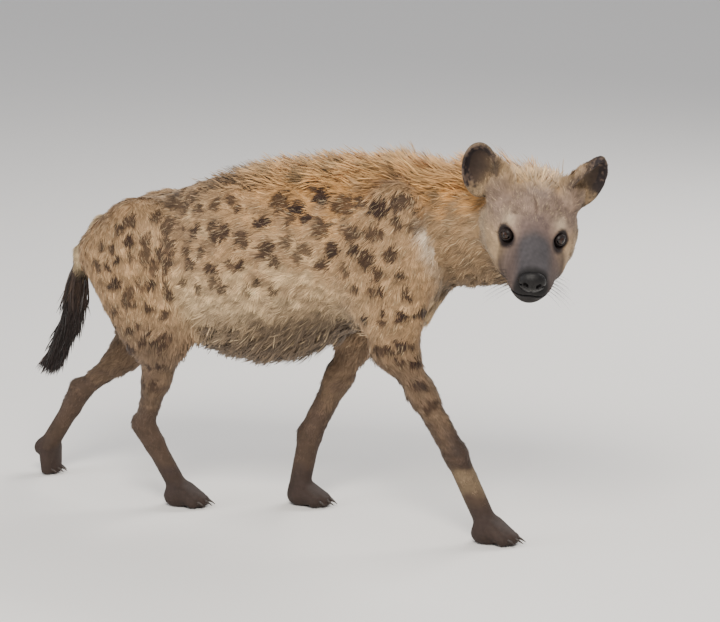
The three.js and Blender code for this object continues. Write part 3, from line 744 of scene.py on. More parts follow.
def head_colour(q, noise):
    """Grey-brown crown, dark muzzle, pale cheeks and brows, dark rims round the eyes."""
    x, y, z = both_sides(q).T
    line = (1 - ramp(y, 1.5, 5)) * ramp(x, -70, -40) * (1 - ramp(x, -20, 0)) * ramp(z, -10, 12)
    brow = gauss((x + 16, 17), (y - 48, 16), (z - 22, 11))
    between = (1 - ramp(y + 3 * noise, 20, 44)) * ramp(x + 4 * noise, -26, 8)
    top_muzzle = ramp(x - 0.35 * y, 4, 38) * ramp(z + 0.5 * x, -34, -8) * (1 - ramp(y, 20, 42))
    cheek_stripe = gauss((line_distance(x, z, [(18, -14), (34, -34), (44, -58)]), 9))
    chin = ramp(-z - 0.25 * (x - 60), 52, 70) * ramp(x, 28, 70)
    reach = np.where(x > 0, 1.7, 1.1)
    far = np.sqrt((x / reach) ** 2 + (y - EYE_SPREAD) ** 2 + (z * 1.1) ** 2)
    tear = gauss((x - 18, 14), (y - 36, 9), (z + 4, 11))
    return paint_over(
        FACE,
        (PALE_GOLD, ramp(-x, 62, 116) * ramp(z, 5, 45) * 0.9),
        (CHEEK, ramp(y, 40, 68) * ramp(-z, -22, 26) * 0.8),
        (SHANK, line * 0.75),
        (BROW, np.clip(1.3 * brow, 0, 1) * 0.8),
        (MAUVE, between * 0.95),
        (MUZZLE_SIDE, ramp(x + 6 * noise, 6, 56) * 0.85),
        (MUZZLE, top_muzzle * 0.95),
        (LID_DARK * 1.5, cheek_stripe * ramp(y, 24, 36) * 0.6),
        (BLACK * 0.7, np.clip(chin + ramp(x, 96, 110), 0, 1) * 0.92),
        (LID_DARK, 1 - ramp(far + 0.8 * noise, 18.5, 27)),
        (LID_DARK, np.clip(tear * 1.5, 0, 1) * 0.7),
    )


def ear_colour(q, noise, small):
    """Charcoal with a pale rim and pale hair low inside."""
    out = np.tile(EAR_DARK, (len(q), 1))
    for e in EARS.values():
        x, y, z = in_ear(q, e).T
        edge = np.sqrt((y / e["wide"]) ** 2 + (z / e["tall"]) ** 2)
        pale = np.maximum(ramp(edge, 0.90, 0.99) * 0.4, ramp(-z + 5 * small, 24, 52) * 0.8)
        inner = paint_over(
            out, (FACE, ramp(small + noise - 0.03 * y, 0.2, 1.6) * 0.5), (CHEEK, pale),
        )
        back = (out + SHANK) / 2
        mine = (edge < 1.3) & (np.abs(x) < 45)
        out = np.where(mine[:, None], np.where((x < -6)[:, None], back, inner), out)
    return out


def colour_at(p, n, w, spots):
    """The colour of the coat at points on the skin, before each hair's own variation."""
    q = to_head(p)
    x, y, z = p.T
    noise, small = MIDDLE(p), SMALL(p)
    streak = gauss((x - 352 + 0.2 * (z - 600), 12), (z - 592, 50))
    streak = np.clip(1.5 * streak + 0.5 * streak * small, 0, 1) * (y < 0)
    trunk = paint_over(trunk_colour(p, n, noise), (WHITISH, streak))
    neck = paint_over(
        NECK_SIDE,
        (GOLD, ramp(n[:, 2] + 0.15 * noise, 0.2, 0.8)),
        # Painted shade: the underside of the neck darkened where it faces down.
        (GREY_BUFF * 0.6, ramp(-n[:, 2] + 0.2 * noise, 0.0, 0.7) * 0.85),
        (WHITISH, streak),
    )
    tail = paint_over(PALE * 0.85, (TUFT, ramp(-z + 6 * noise, -500, -455)))
    out = part_value(
        w[:, :, None], trunk, neck, head_colour(q, noise), tail,
        leg_colour(p, noise), ear_colour(q, noise, small),
    )
    mask = spot_mask(p, spots, small)
    mask = mask * (1 - head_of(w)) * (1 - ears_of(w)) * (1 - 0.7 * w[:, 1])
    mask = mask * (1 - 0.8 * ramp(-z, -190, -120))
    return mix(out, SPOT, mask) * (1 + 0.07 * noise + 0.06 * small)[:, None]


# The lie of the coat: a direction at each point, laid into the surface.
DOWN = V(0, 0, -1)
FALLING = V(-0.1, 0, -1)


def lie_of_coat(p, n, w):
    q = to_head(p)
    x, _, z = p.T
    one, none = np.ones(len(p)), np.zeros(len(p))
    down = 0.25 + 0.75 * ramp(-z, -640, -430)
    trunk_way = paint_over(
        np.stack([-one, none, -down], 1),
        (FALLING, ramp(-x, 360, 430)),
        (FALLING, ramp(x, 300, 350) * ramp(-z, -590, -520)),
    )
    neck_way = np.stack([-one, 0.1 * one, -0.35 - 0.4 * ramp(-z, -640, -560)], 1)
    head_way = np.stack([
        -one,
        0.45 * np.sign(q[:, 1]) * ramp(np.abs(q[:, 1]), 4, 40),
        0.25 * ramp(q[:, 2], -30, 20) - 0.5 * ramp(-q[:, 2], 20, 60),
    ], 1) @ HEAD_ROT.T
    ways = [trunk_way, neck_way, head_way, np.tile(V(-0.25, 0, -1), (len(p), 1))]
    for leg in LEGS.values():
        root, bend, wrist, ball_at = (leg[k] for k in JOINTS)
        ways.append(paint_over(
            unit(bend - root) + V(-0.25, 0, 0),
            (unit(wrist - bend), ramp(-z, -bend[2] - 40, -bend[2] + 40)),
            (unit(ball_at - wrist), ramp(-z, -wrist[2] - 25, -wrist[2] + 25)),
            (DOWN if is_pushing(leg) else ahead_of(leg) + V(0, 0, -0.35),
             ramp(-z, -ball_at[2] - 16, -ball_at[2] + 6)),
        ))
    for e in EARS.values():
        out = np.stack([none, 0.7 * in_ear(q, e)[:, 1] / e["wide"], one], 1)
        ways.append(out @ ear_frame(e).T @ HEAD_ROT.T)
    f = sum(w[:, i : i + 1] * unit(way) for i, way in enumerate(ways))
    f = f - (f * n).sum(1)[:, None] * n
    weak = np.linalg.norm(f, axis=1) < 0.15
    f[weak] += (DOWN - n * -n[:, 2:3])[weak] * 0.3
    return unit(f)


def hair_length(p, n, w):
    q = to_head(p)
    x, _, z = p.T
    trunk = 18 + 3 * ramp(x, -120, 250) + 12 * ramp(-z, -470, -400)
    under = 10 * ramp(-n[:, 2], 0.1, 0.8)
    leg = 19 - 14 * ramp(low_leg(p), 0.12, 0.92)
    back = -q[:, 0]
    face = 3.0 + 9.5 * ramp(back, -50, 50) + 9 * ramp(back, 50, 130)
    face = face + 7 * ramp(back, 50, 105) * ramp(q[:, 2], 10, 50)
    face = face * (0.45 + 0.55 * ramp(from_eye(q), 15, 36))
    return part_value(w, trunk + under, 30, face, 17, leg, 4.5 + 8 * head_of(w))


# Unwrap of the animal's own shape: trunk, head and limbs each round their own axis.
def unwrap(p, w):
    q = to_head(p)
    x, y, z = p.T
    main = np.argmax(w, 1)
    uv = np.zeros((len(p), 2))

    def turn(a, b):
        return np.arctan2(a, b) / (2 * math.pi) + 0.5

    def put(mask, a, b, box):
        x0, y0, x1, y1 = box
        a, b = np.clip(a, 0, 1), np.clip(b, 0, 1)
        uv[mask] = np.stack([x0 + a * (x1 - x0), y0 + b * (y1 - y0)], 1)[mask]

    put(main < 2, (x + 640) / 1320, turn(y, z - 575), (0.01, 0.01, 0.99, 0.45))
    put(main == 2, (q[:, 0] + 190) / 330, turn(q[:, 1], q[:, 2] + 20), (0.01, 0.47, 0.39, 0.79))
    put(main == 3, (600 - z) / 220, turn(y, x + 480), (0.01, 0.81, 0.19, 0.99))
    for i, leg in enumerate(LEGS.values()):
        xs, ys, heights = np.array([leg[k] for k in reversed(JOINTS)]).T
        round_leg = turn(y - np.interp(z, heights, ys), x - np.interp(z, heights, xs))
        left = 0.42 + 0.145 * i
        put(main == 4 + i, round_leg, z / 640, (left, 0.47, left + 0.13, 0.99))
    for i, e in enumerate(EARS.values()):
        local = in_ear(q, e)
        front = (local[:, 0] > -6).astype(float)
        left = 0.21 + 0.1 * i
        put(main == 8 + i, local[:, 1] / 90 + 0.5, local[:, 2] / 150 / 2 + 0.25 + 0.5 * front,
            (left, 0.81, left + 0.08, 0.99))
    return uv


# Blender objects, and meshes from arrays.
def add_object(name, data):
    obj = bpy.data.objects.new(name, data)
    bpy.context.scene.collection.objects.link(obj)
    return obj


def make_mesh(name, verts, faces):
    """verts in the animal's frame, in millimetres; faces all with the same number of corners."""
    mesh = bpy.data.meshes.new(name)
    mesh.vertices.add(len(verts))
    mesh.vertices.foreach_set("co", world(verts).astype(np.float32).ravel())
    mesh.loops.add(faces.size)
    mesh.loops.foreach_set("vertex_index", faces.astype(np.int32).ravel())
    mesh.polygons.add(len(faces))
    starts = np.arange(0, faces.size, faces.shape[1], dtype=np.int32)
    mesh.polygons.foreach_set("loop_start", starts)
    mesh.update(calc_edges=True)
    mesh.validate()
    mesh.polygons.foreach_set("use_smooth", np.ones(len(mesh.polygons), bool))
    return add_object(name, mesh)


def paint(obj, colours):
    attribute = obj.data.color_attributes.new("Tint", "FLOAT_COLOR", "POINT")
    rgba = np.ones((len(colours), 4), np.float32)
    rgba[:, :3] = np.clip(colours, 0, 1)
    attribute.data.foreach_set("color", rgba.ravel())


def finish_piece(obj, material, slot_name, *nodes):
    obj.data.materials.append(material)
    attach(obj, BODY)
    if nodes:
        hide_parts(*nodes)


def tube_points(centres, radii, u, v, angles):
    """Rings of points round a line of centres, one ring after another."""
    ring = np.cos(angles)[:, None] * u + np.sin(angles)[:, None] * v
    return (centres[:, None] + radii[:, None, None] * ring).reshape(-1, 3)


def tube_quads(rings, turns, first=0):
    """The faces between rings of points: 'rings' of them, each with 'turns' points."""
    i, j = np.meshgrid(np.arange(rings - 1) * turns + first, np.arange(turns), indexing="ij")
    k = (j + 1) % turns
    return np.stack([i + j, i + k, i + turns + k, i + turns + j], -1).reshape(-1, 4)


# Materials.
def set_inputs(node, **values):
    for key, value in values.items():
        node.inputs[key.replace("_", " ")].default_value = value
    return node


def new_material(name, **values):
    material = bpy.data.materials.new(name)
    material.use_nodes = True
    tree = material.node_tree
    return material, tree, set_inputs(tree.nodes["Principled BSDF"], **values)


BUMP_DISTANCE = 0.001
BUMP_DETAIL = 6.0


def tinted(name, rough, bump_scale=0.0, bump=0.0, level=0.22, **values):
    """A material that takes its colour from the mesh's own Tint, with a fine bump."""
    material, tree, shader = new_material(
        name, Roughness=rough, Specular_IOR_Level=level, **values,
    )

    def node(kind, **inputs):
        return set_inputs(tree.nodes.new("ShaderNode" + kind), **inputs)

    tint = node("Attribute")
    tint.attribute_name = "Tint"
    links = [(tint, "Color", shader, "Base Color")]
    if bump:
        place = node("TexCoord")
        noise = node("TexNoise", Scale=bump_scale, Detail=BUMP_DETAIL)
        raised = node("Bump", Strength=bump, Distance=BUMP_DISTANCE)
        links += [
            (place, "Object", noise, "Vector"),
            (noise, "Fac", raised, "Height"),
            (raised, "Normal", shader, "Normal"),
        ]
    for start, output, end, socket in links:
        tree.links.new(start.outputs[output], end.inputs[socket])
    return material


SKIN = tinted("animal_skin", 0.72, 420.0, 0.35)
COAT = tinted("fur", 0.62, Sheen_Weight=0.12, Sheen_Roughness=0.5)
LID_SKIN = tinted("lid_skin", 0.42, 700.0, 0.3)
NOSE_SKIN = tinted("nose_leather", 0.36, 900.0, 0.6)
HORN = tinted("claw_horn", 0.35, 300.0, 0.25)
WHISKER = tinted("whisker_hair", 0.4)
EYE_WET = tinted("eye_wet", 0.06, level=0.3, Coat_Weight=0.15, Coat_Roughness=0.03)


# The skin: one mesh for the body, and a finer one for the head that takes its place there.
HEAD_SEAM = (V(512, -40, 650), unit(V(0.6, -0.78, -0.2)))


def beyond_seam(p):
    return (p - HEAD_SEAM[0]) @ HEAD_SEAM[1]


FINE = 1.0


def make_skin():
    body_verts, body_quads = mesh_field(
        skin_field,
        steps_line(-700, 5.2 * FINE, 650),
        steps_line(-200, 5.2 * FINE, 200),
        steps_line(-4, 3.8 * FINE, 110, 5.8 * FINE, 790),
    )
    middle = body_verts[body_quads].mean(1)
    replaced = (beyond_seam(middle) > 3) & (middle[:, 2] > 450)
    body_verts, body_quads = drop_faces(body_verts, body_quads, replaced)
    head_verts, head_quads = mesh_field(
        head_skin_field,
        steps_line(-200, 3.2 * FINE, -30, 2.1 * FINE, 140),
        steps_line(-170, 2.9 * FINE, -80, 2.3 * FINE, 80, 2.9 * FINE, 175),
        steps_line(-160, 3.4 * FINE, -100, 2.3 * FINE, 40, 2.9 * FINE, 160),
    )
    placed = from_head(head_verts)
    hidden = beyond_seam(placed[head_quads].mean(1)) < -3
    placed, head_quads = drop_faces(placed, head_quads, hidden)
    quads = np.concatenate([body_quads, head_quads + len(body_verts)])
    return np.concatenate([body_verts, placed]), quads


skin_verts, skin_quads = make_skin()
skin_normals = vertex_normals(skin_verts, skin_quads)
skin_shares = shares(skin_verts)
skin_x, skin_y, skin_z = skin_verts.T
head_q = to_head(skin_verts)
lip_distance = mouth_distance(head_q)
is_ear = ears_of(skin_shares)
is_head = head_of(skin_shares) + is_ear
SPOTS = spots_on(skin_verts, 21)
skin_tint = colour_at(skin_verts, skin_normals, skin_shares, SPOTS)
lip = gauss((lip_distance, 4.2)) * (head_q[:, 0] > -6) * (head_of(skin_shares) > 0.5)
skin_tint = mix(skin_tint, BLACK, np.clip(lip * 1.3, 0, 1))
# Painted shade: the skin under the body's coat darkened, for depth between the hairs.
shade_under_coat = 1 - 0.35 * (1 - head_of(skin_shares))
skin = make_mesh("skin", skin_verts, skin_quads)
paint(skin, skin_tint * shade_under_coat[:, None])
FLESH = ["torso", "neck", "head", "ear_right", "ear_left", "tail_root"]
FLESH += [f"{leg}_{part}" for leg in LEGS for part in ("upper", "lower", "paw")]
finish_piece(skin, SKIN, "body_coat", *FLESH)


# The coat: flat, tapered blades rooted in the skin.
SHORT = (0.0, 0.5)
LONG = (0.0, 0.3, 0.58, 0.82)
ROOT_SUNK = 1.2
COAT_FLOOR = 0.6


def lifted(way, normal, angle):
    return unit(way * np.cos(angle)[:, None] + normal * np.sin(angle)[:, None])


class Blades:
    """Rows of blades: 'bends' is where along each blade its pairs of points lie."""

    def __init__(self, root, normal, way, length, wide, lift, tint, tips, twist, bends, curl):
        start = lifted(way, normal, lift)
        end = lifted(way, normal, lift * (1 - curl))
        across = lifted(unit(np.cross(normal, way)), normal, twist)
        pairs = len(bends)
        self.ring = pairs * 2 + 1
        shape = (len(root), self.ring, 3)
        self.verts, self.tint, self.normals = (np.empty(shape, np.float32) for _ in range(3))
        sunk = root - normal * ROOT_SUNK
        self.normals[:] = unit(normal + unit(np.cross(way, across)) * 0.45)[:, None]
        for i, t in enumerate((*bends, 1.0)):
            along = start * (t - t * t / 2) + end * (t * t / 2)
            at = sunk + along * length[:, None]
            half = across * (wide * (1 - 0.35 * t) * 0.5)[:, None]
            for k, s in enumerate((0,) if i == pairs else (-1, 1)):
                self.verts[:, 2 * i + k] = at + half * s
                self.tint[:, 2 * i + k] = tint * (1 - t) + tips * t
        faces = []
        for a in range(0, 2 * pairs - 2, 2):
            faces += [(a, a + 3, a + 1), (a, a + 2, a + 3)]
        faces.append((2 * pairs - 2, 2 * pairs, 2 * pairs - 1))
        self.faces = np.array(faces)
        self.root = root


def make_coat(name, blades, slot_name, *nodes):
    n, ring = len(blades.root), blades.ring
    starts = (np.arange(n) * ring)[:, None, None]
    faces = (blades.faces[None] + starts).reshape(-1, 3)
    verts = blades.verts.reshape(-1, 3)
    verts[:, 2] = np.maximum(verts[:, 2], COAT_FLOOR)
    obj = make_mesh(name, verts.astype(float), faces)
    paint(obj, blades.tint.reshape(-1, 3))
    uv = unwrap(blades.root, shares(blades.root))
    spread = np.empty((n, ring, 2), np.float32)
    for i in range(ring):
        t = i // 2 / (ring // 2)
        s = 0 if i == ring - 1 else (i % 2) * 2 - 1
        spread[:, i, 0] = uv[:, 0] + 0.0012 * s
        spread[:, i, 1] = uv[:, 1] + 0.003 * (t - 0.5)
    layer = obj.data.uv_layers.new(name="OFBake")
    corner = np.empty(len(obj.data.loops), np.int32)
    obj.data.loops.foreach_get("vertex_index", corner)
    layer.data.foreach_set("uv", spread.reshape(-1, 2)[corner].ravel())
    obj.data.normals_split_custom_set_from_vertices(blades.normals.reshape(-1, 3))
    finish_piece(obj, COAT, slot_name, *nodes)


def pick_roots(density, seed):
    """Random places on the skin, 'density' of them per square millimetre at each vertex.

    It gives back a function that reads a value of the vertices at those places.
    """
    r = np.random.default_rng(seed)
    tris = np.concatenate([skin_quads[:, [0, 1, 2]], skin_quads[:, [0, 2, 3]]])
    a, b, c = (skin_verts[tris[:, i]] for i in range(3))
    area = np.linalg.norm(np.cross(b - a, c - a), axis=1) / 2
    load = area * density[tris].mean(1)
    total = int(load.sum() * FEWER)
    edges = np.cumsum(load)
    # Even steps with jitter keep the roots well spread.
    at = (np.arange(total) + r.uniform(0, 1, total)) / total * edges[-1]
    chosen = np.minimum(np.searchsorted(edges, at), len(tris) - 1)
    u, v = r.uniform(0, 1, (2, total))
    flip = u + v > 1
    u[flip], v[flip] = 1 - u[flip], 1 - v[flip]
    corners, share = tris[chosen], np.stack([1 - u - v, u, v], 1)

    def read(values):
        weights = share if values.ndim == 1 else share[:, :, None]
        return (values[corners] * weights).sum(1)

    return read


FEWER = 1.0
skin_way = lie_of_coat(skin_verts, skin_normals, skin_shares)
skin_length = hair_length(skin_verts, skin_normals, skin_shares)
CLUMP = Waves(8, 26)
CLUMP_B = Waves(9, 17)
PART_A = Waves(10, 60)


def grow(name, region, per_mm2, wide, lift, seed, slot_name, bends, brighten=1.0, longer=1.0,
         droop=0.75):
    """Grow one piece of the coat where 'region' (a share at each vertex) is above zero."""
    read = pick_roots(region * per_mm2, seed)
    r = np.random.default_rng(seed + 100)
    root = read(skin_verts)
    normal = unit(read(skin_normals))
    way = read(skin_way)
    length = read(skin_length) * longer
    n = len(root)
    across = unit(np.cross(normal, way))
    swing = 0.26 * CLUMP(root) + 0.16 * CLUMP_B(root) + 0.12 * PART_A(root)
    swing = swing + r.normal(0, 0.13, n)
    way = unit(way - (way * normal).sum(1)[:, None] * normal + across * swing[:, None])
    length = length * r.uniform(0.72, 1.12, n) * (1 + 0.12 * CLUMP_B(root + 40))
    angle = lift * (1 + 0.3 * CLUMP(root + 90)) + r.normal(0, 0.07, n)
    angle = np.clip(angle, 0.06, 1.3)
    tint = colour_at(root, normal, shares(root), SPOTS)
    z = root[:, 2]
    streaks = ramp(-z, -600, -520) * ramp(z, 400, 460)
    own = np.exp(r.normal(0, 0.15, n) + (0.10 + 0.10 * streaks) * CLUMP_B(root - 30))
    grey = r.uniform(0, 1, n) < 0.08 * ramp(z, 330, 420)
    tint = np.where(grey[:, None], (tint + PALE) / 2, tint) * own[:, None] * brighten
    width = wide * np.clip(length / 24, 0.35, 1.25) ** 0.5 * r.uniform(0.7, 1.3, n)
    # Roots darker than tips: painted shade deep in the coat.
    blades = Blades(
        root, normal, way, length, width, angle, tint * 0.62, tint * 1.12,
        r.normal(0, 0.35, n), bends, droop,
    )
    make_coat(name, blades, slot_name)


front = ramp(head_q[:, 0], -20, 50)
off_nose = ramp(nose_pad(head_q), 0, 2)
off_lips = ramp(lip_distance, 1.5, 4.5)
off_eyes = ramp(from_eye(head_q), 14.5, 18.5)
head_bare = off_nose * np.where(is_head > 0.5, off_lips * off_eyes, 1)
low_on_leg = legs_of(skin_shares) * ramp(low_leg(skin_verts), 0.05, 0.3)
on_trunk = (1 - is_head) * (1 - low_on_leg)
right = (skin_y < 0).astype(float)
on_legs = (1 - is_head) * (1 - on_trunk) * ramp(skin_z, 3.0, 9.0)
fore = (skin_x > -100).astype(float)
face = is_head * (1 - is_ear) * head_bare
LENGTHS = (("front", 140, 900), ("middle", -170, 140), ("rear", -900, -170))
for i, (tag, start, end) in enumerate(LENGTHS):
    here = on_trunk * (skin_x > start) * (skin_x <= end)
    for side, share, seed in (("right", right, 31), ("left", 1 - right, 35)):
        name = f"coat_{side}_{tag}"
        grow(name, here * share, 0.26, 1.55, 0.30, seed + i, "body_coat", SHORT)
grow("coat_forelegs", on_legs * fore, 0.27, 1.8, 0.26, 41, "leg_coat", SHORT)
grow("coat_hindlegs", on_legs * (1 - fore), 0.26, 1.8, 0.26, 42, "leg_coat", SHORT)
grow("coat_face", face * (0.3 + front), 0.74, 1.3, 0.26, 51, "head_coat", SHORT, 0.9)
grow("coat_crown", face * (1 - front), 0.40, 1.6, 0.36, 52, "head_coat", SHORT, 0.95)
grow("coat_ears", is_ear * head_bare, 0.62, 1.3, 0.26, 53, "ear_coat", SHORT)


# The mane: long locks along the nape and shoulders that stand and lean back.
def grow_mane():
    r = np.random.default_rng(61)
    height = ramp(skin_x, -210, 60) * (1 - is_head) * ramp(skin_z, 560, 620)
    narrow = 1 - ramp(np.abs(skin_y), 30, 92)
    up = ramp(skin_normals[:, 2], 0.25, 0.75)
    hx, hy, hz = head_q.T
    crown = is_head * (1 - is_ear) * ramp(-hx, 84, 124) * ramp(hz, 10, 40)
    crown *= 1 - ramp(np.abs(hy), 34, 58)
    region = np.maximum(height * narrow * up, crown)
    read = pick_roots(region * 0.11, 62)
    root = read(skin_verts)
    normal = unit(read(skin_normals))
    way = unit(read(skin_way))
    amount = read(region)
    on_crown = read(crown)
    n = len(root)
    across = unit(np.cross(normal, way))
    lean = 0.32 * CLUMP(root * 0.8) + r.normal(0, 0.16, n)
    way = unit(way + across * lean[:, None])
    nape = ramp(root[:, 0], 400, 470) * (1 - on_crown)
    length = (30 + 38 * amount * (1 - 0.6 * on_crown) + 26 * nape) * r.uniform(0.7, 1.1, n)
    angle = 0.66 + 0.22 * nape + 0.2 * CLUMP_B(root) + r.normal(0, 0.12, n)
    angle = np.clip(angle, 0.2, 1.25)
    # Paler gold along the top: partly the coat's own colour, partly painted backlight on the
    # outline.
    tint = mix(colour_at(root, normal, shares(root), SPOTS), PALE_GOLD, 0.45 * amount)
    tint = tint * np.exp(r.normal(0, 0.17, n) + 0.12 * CLUMP_B(root + 7))[:, None]
    # Roots darker than tips: painted shade deep in the coat.
    blades = Blades(
        root, normal, way, length, 2.1 * r.uniform(0.7, 1.3, n), angle, tint * 0.62,
        tint * 1.2, r.normal(0, 0.5, n), LONG, 0.55,
    )
    make_coat("coat_mane", blades, "neck_coat")


grow_mane()

# Longer hair hangs from the flank and belly.
low = ramp(-skin_z, -440, -370) * ramp(-skin_normals[:, 2], -0.15, 0.35)
fringe = low * on_trunk * ramp(skin_x, -260, -160) * (1 - ramp(skin_x, 190, 260))
grow("coat_fringe", fringe, 0.075, 2.3, 0.5, 71, "body_coat", LONG, 1.05, 1.25, 0.9)


# The brush of the tail: long black hair that falls from the end of the tail.
def grow_brush():
    r = np.random.default_rng(81)
    n = int(8600 * (1))
    knots = np.linspace(0, 1, len(BRUSH))

    def on_spine(t):
        return np.stack([np.interp(t, knots, line) for line in np.array(BRUSH).T], 1)

    t = r.uniform(-0.18, 0.72, n)
    down = np.clip(t, 0, 1)
    centre = on_spine(t) + V(14, 0, 90) * np.clip(-t, 0, 1)[:, None]
    along = on_spine(t + 0.05) - on_spine(t - 0.05)
    along = unit(along + V(0, 0, -1e-3) - V(0.15, 0, 1) * (t < 0)[:, None])
    turn = r.uniform(0, 2 * math.pi, n)
    side = unit(np.cross(along, V(0, 1, 0)))
    normal = side * np.cos(turn)[:, None] + V(0, 1, 0) * np.sin(turn)[:, None]
    normal = unit(normal - (normal * along).sum(1)[:, None] * along)
    out = 13 * (1 - 0.45 * down) * r.uniform(0.15, 1.0, n) ** 0.6
    root = centre + normal * out[:, None]
    length = r.uniform(62, 108, n) * (1 - 0.25 * down)
    across = unit(np.cross(normal, along))
    way = unit(along + across * r.normal(0, 0.12, n)[:, None])
    angle = np.clip(r.normal(0.20, 0.09, n), 0.02, 0.5)
    tint = TUFT * np.exp(r.normal(0, 0.3, n))[:, None]
    tint = mix(tint, SHANK * 0.8, ramp(-t, -0.05, 0.15) * 0.5)
    # Roots darker than tips: painted shade deep in the brush.
    blades = Blades(
        root, normal, way, length, 2.6 * r.uniform(0.7, 1.3, n), angle, tint * 0.8, tint * 1.3,
        r.normal(0, 0.6, n), LONG, 1.3,
    )
    make_coat("coat_brush", blades, "brush_coat", "tail_brush")


grow_brush()


# Eyes: a smooth ball with a dark iris and a clear bulge in front.
EYE_OUT = V(0.74, 0.62, 0.1)


def eye_basis(side):
    out = unit(EYE_OUT * V(1, side, 1))
    across = unit(np.cross(V(0, 0, 1), out))
    return np.stack([across, np.cross(out, across), out], 1)


def eye_points(side, r, polar, turn):
    """Points round an eye, by their distance and their angles from where it looks."""
    flat = r * np.sin(polar)
    local = np.stack([flat * np.cos(turn), flat * np.sin(turn), r * np.cos(polar)], 1)
    return local @ eye_basis(side).T + V(0, side * EYE_SPREAD, 0)


def make_eye(side, name):
    rings, turns = 36, 48
    a = np.repeat(np.linspace(0, math.pi, rings), turns)
    b = np.tile(circle(turns), rings)
    bulge = 0.7 * np.exp(-((a / 0.5) ** 2))
    verts = eye_points(side, EYE_R - 0.5 + bulge, a, b)
    obj = make_mesh(name + "_ball", from_head(verts), tube_quads(rings, turns)[:, ::-1])
    streak = 0.75 + 0.25 * np.sin(b * 23) * np.sin(b * 9 + 1)
    paint(obj, paint_over(
        IRIS * streak[:, None],
        (BLACK * 0.2, 1 - ramp(a, 0.20, 0.27)),
        (BLACK * 0.3, ramp(a, 0.62, 0.74)),
        (EYE_RIM, ramp(a, 0.98, 1.15)),
    ))
    finish_piece(obj, EYE_WET, "eye", name)


# Lids: a rounded rim round an almond opening, which runs out into the skin round the eye.
ALMOND = dict(half=11.2, above=8.0, below=7.4, tilt=-6)
LID_R = 12.35
LID_END = 1.75


def make_lids(side, name):
    turns, rings = 72, 14
    turn = circle(turns)
    reach = np.where(np.sin(turn) > 0, ALMOND["above"], ALMOND["below"])
    corner = np.abs(np.cos(turn)) ** 1.6
    open_x = ALMOND["half"] * np.cos(turn)
    open_y = reach * np.sin(turn) * (1 - 0.30 * corner)
    tilt = math.radians(ALMOND["tilt"]) * side
    open_x, open_y = (
        open_x * math.cos(tilt) - open_y * math.sin(tilt),
        open_x * math.sin(tilt) + open_y * math.cos(tilt),
    )
    polar0 = np.arcsin(np.clip(np.hypot(open_x, open_y) / 13.0, 0, 0.98))
    round_way = np.arctan2(open_y, open_x)
    verts, tints = [], []
    for s in np.linspace(0, 1, rings):
        polar = polar0 + (LID_END - polar0) * s**1.2
        r = LID_R + 1.75 * ramp(s, -0.02, 0.2) - 2.6 * s**2
        r = r + 0.35 * np.sin(s * 16) * ramp(s, 0.1, 0.4)
        verts.append(eye_points(side, r, polar, round_way))
        tints.append(np.tile(LID_DARK * (0.55 + 0.9 * s), (turns, 1)))
    quads = tube_quads(rings, turns)[:, ::-1]
    obj = make_mesh(name, from_head(np.concatenate(verts)), quads)
    paint(obj, np.concatenate(tints))
    finish_piece(obj, LID_SKIN, "head_coat")


for side, tag in ((-1, "right"), (1, "left")):
    make_eye(side, f"eye_{tag}")
    make_lids(side, f"lids_{tag}")


# The nose pad, with its nostrils and the groove between them.
def nose_field(q):
    f = smax(head_flesh(q) - 0.6, nose_pad(q), 4)
    m = both_sides(q)
    f = smax(f, -ball(m, V(126, 13.5, -28), (10, 6.0, 5.0), rot(34, 0, 22)), 2)
    f = smax(f, -ball(m, V(119, 22.5, -32), (10, 5.0, 2.0), rot(30, 0, -18)), 1.5)
    groove = np.maximum(m[:, 1] - 0.9, -(f + 1.6))
    return np.where(q[:, 2] < -20, smax(f, -groove, 1.0), f)


def make_nose():
    step = 1.2 * FINE
    verts, quads = mesh_field(
        nose_field, steps_line(90, step, 142), steps_line(-34, step, 34),
        steps_line(-58, step, 4),
    )
    obj = make_mesh("nose_pad", from_head(verts), quads)
    paint(obj, BLACK * 1.2 * (1 + 0.12 * Waves(12, 5)(verts))[:, None])
    finish_piece(obj, NOSE_SKIN, "nose_pad", "nose")


make_nose()


# Claws: blunt, curved cones on each toe, joined into one piece.
CLAW_LONG = 17
CLAW_FLOOR = 0.3


def make_claws():
    turns, rings = 12, 7
    half, up = turns // 2, V(0, 0, 1)
    t = np.linspace(0, 1, rings)[:, None]
    verts, quads = [], []
    for leg in LEGS.values():
        for _, to, _, r1, ahead in toes_of(leg):
            at = to + ahead * (r1 - 5)
            at[2] = max(to[2], 10) + 1.5
            side = unit(np.cross(up, ahead)) * 0.75
            first = len(verts) * rings * turns
            centres = at + ahead * CLAW_LONG * t - up * (1.0 * t + 6.5 * t * t)
            radii = 4.0 * (1 - 0.8 * t[:, 0])
            verts.append(tube_points(centres, radii, side, up, circle(turns)))
            quads.append(tube_quads(rings, turns, first))
            tip = first + (rings - 1) * turns
            quads.append([
                (tip + j, tip + j + 1, tip + turns - 2 - j, tip + turns - 1 - j)
                for j in range(half - 1)
            ])
    verts = np.concatenate(verts)
    verts[:, 2] = np.maximum(verts[:, 2], CLAW_FLOOR)
    obj = make_mesh("claws", verts, np.concatenate(quads))
    paint(obj, CLAW * (1 + 0.2 * Waves(13, 7)(verts))[:, None])
    finish_piece(obj, HORN, "claw")


make_claws()


# Whiskers and long brow hairs: thin, drooping, three-sided hairs.
LIP_HAIRS = 20
ALL_HAIRS = 26
HAIR_RINGS = 8
HAIR_R = 0.32
THREE_WAYS = (0, 2.094, 4.189)


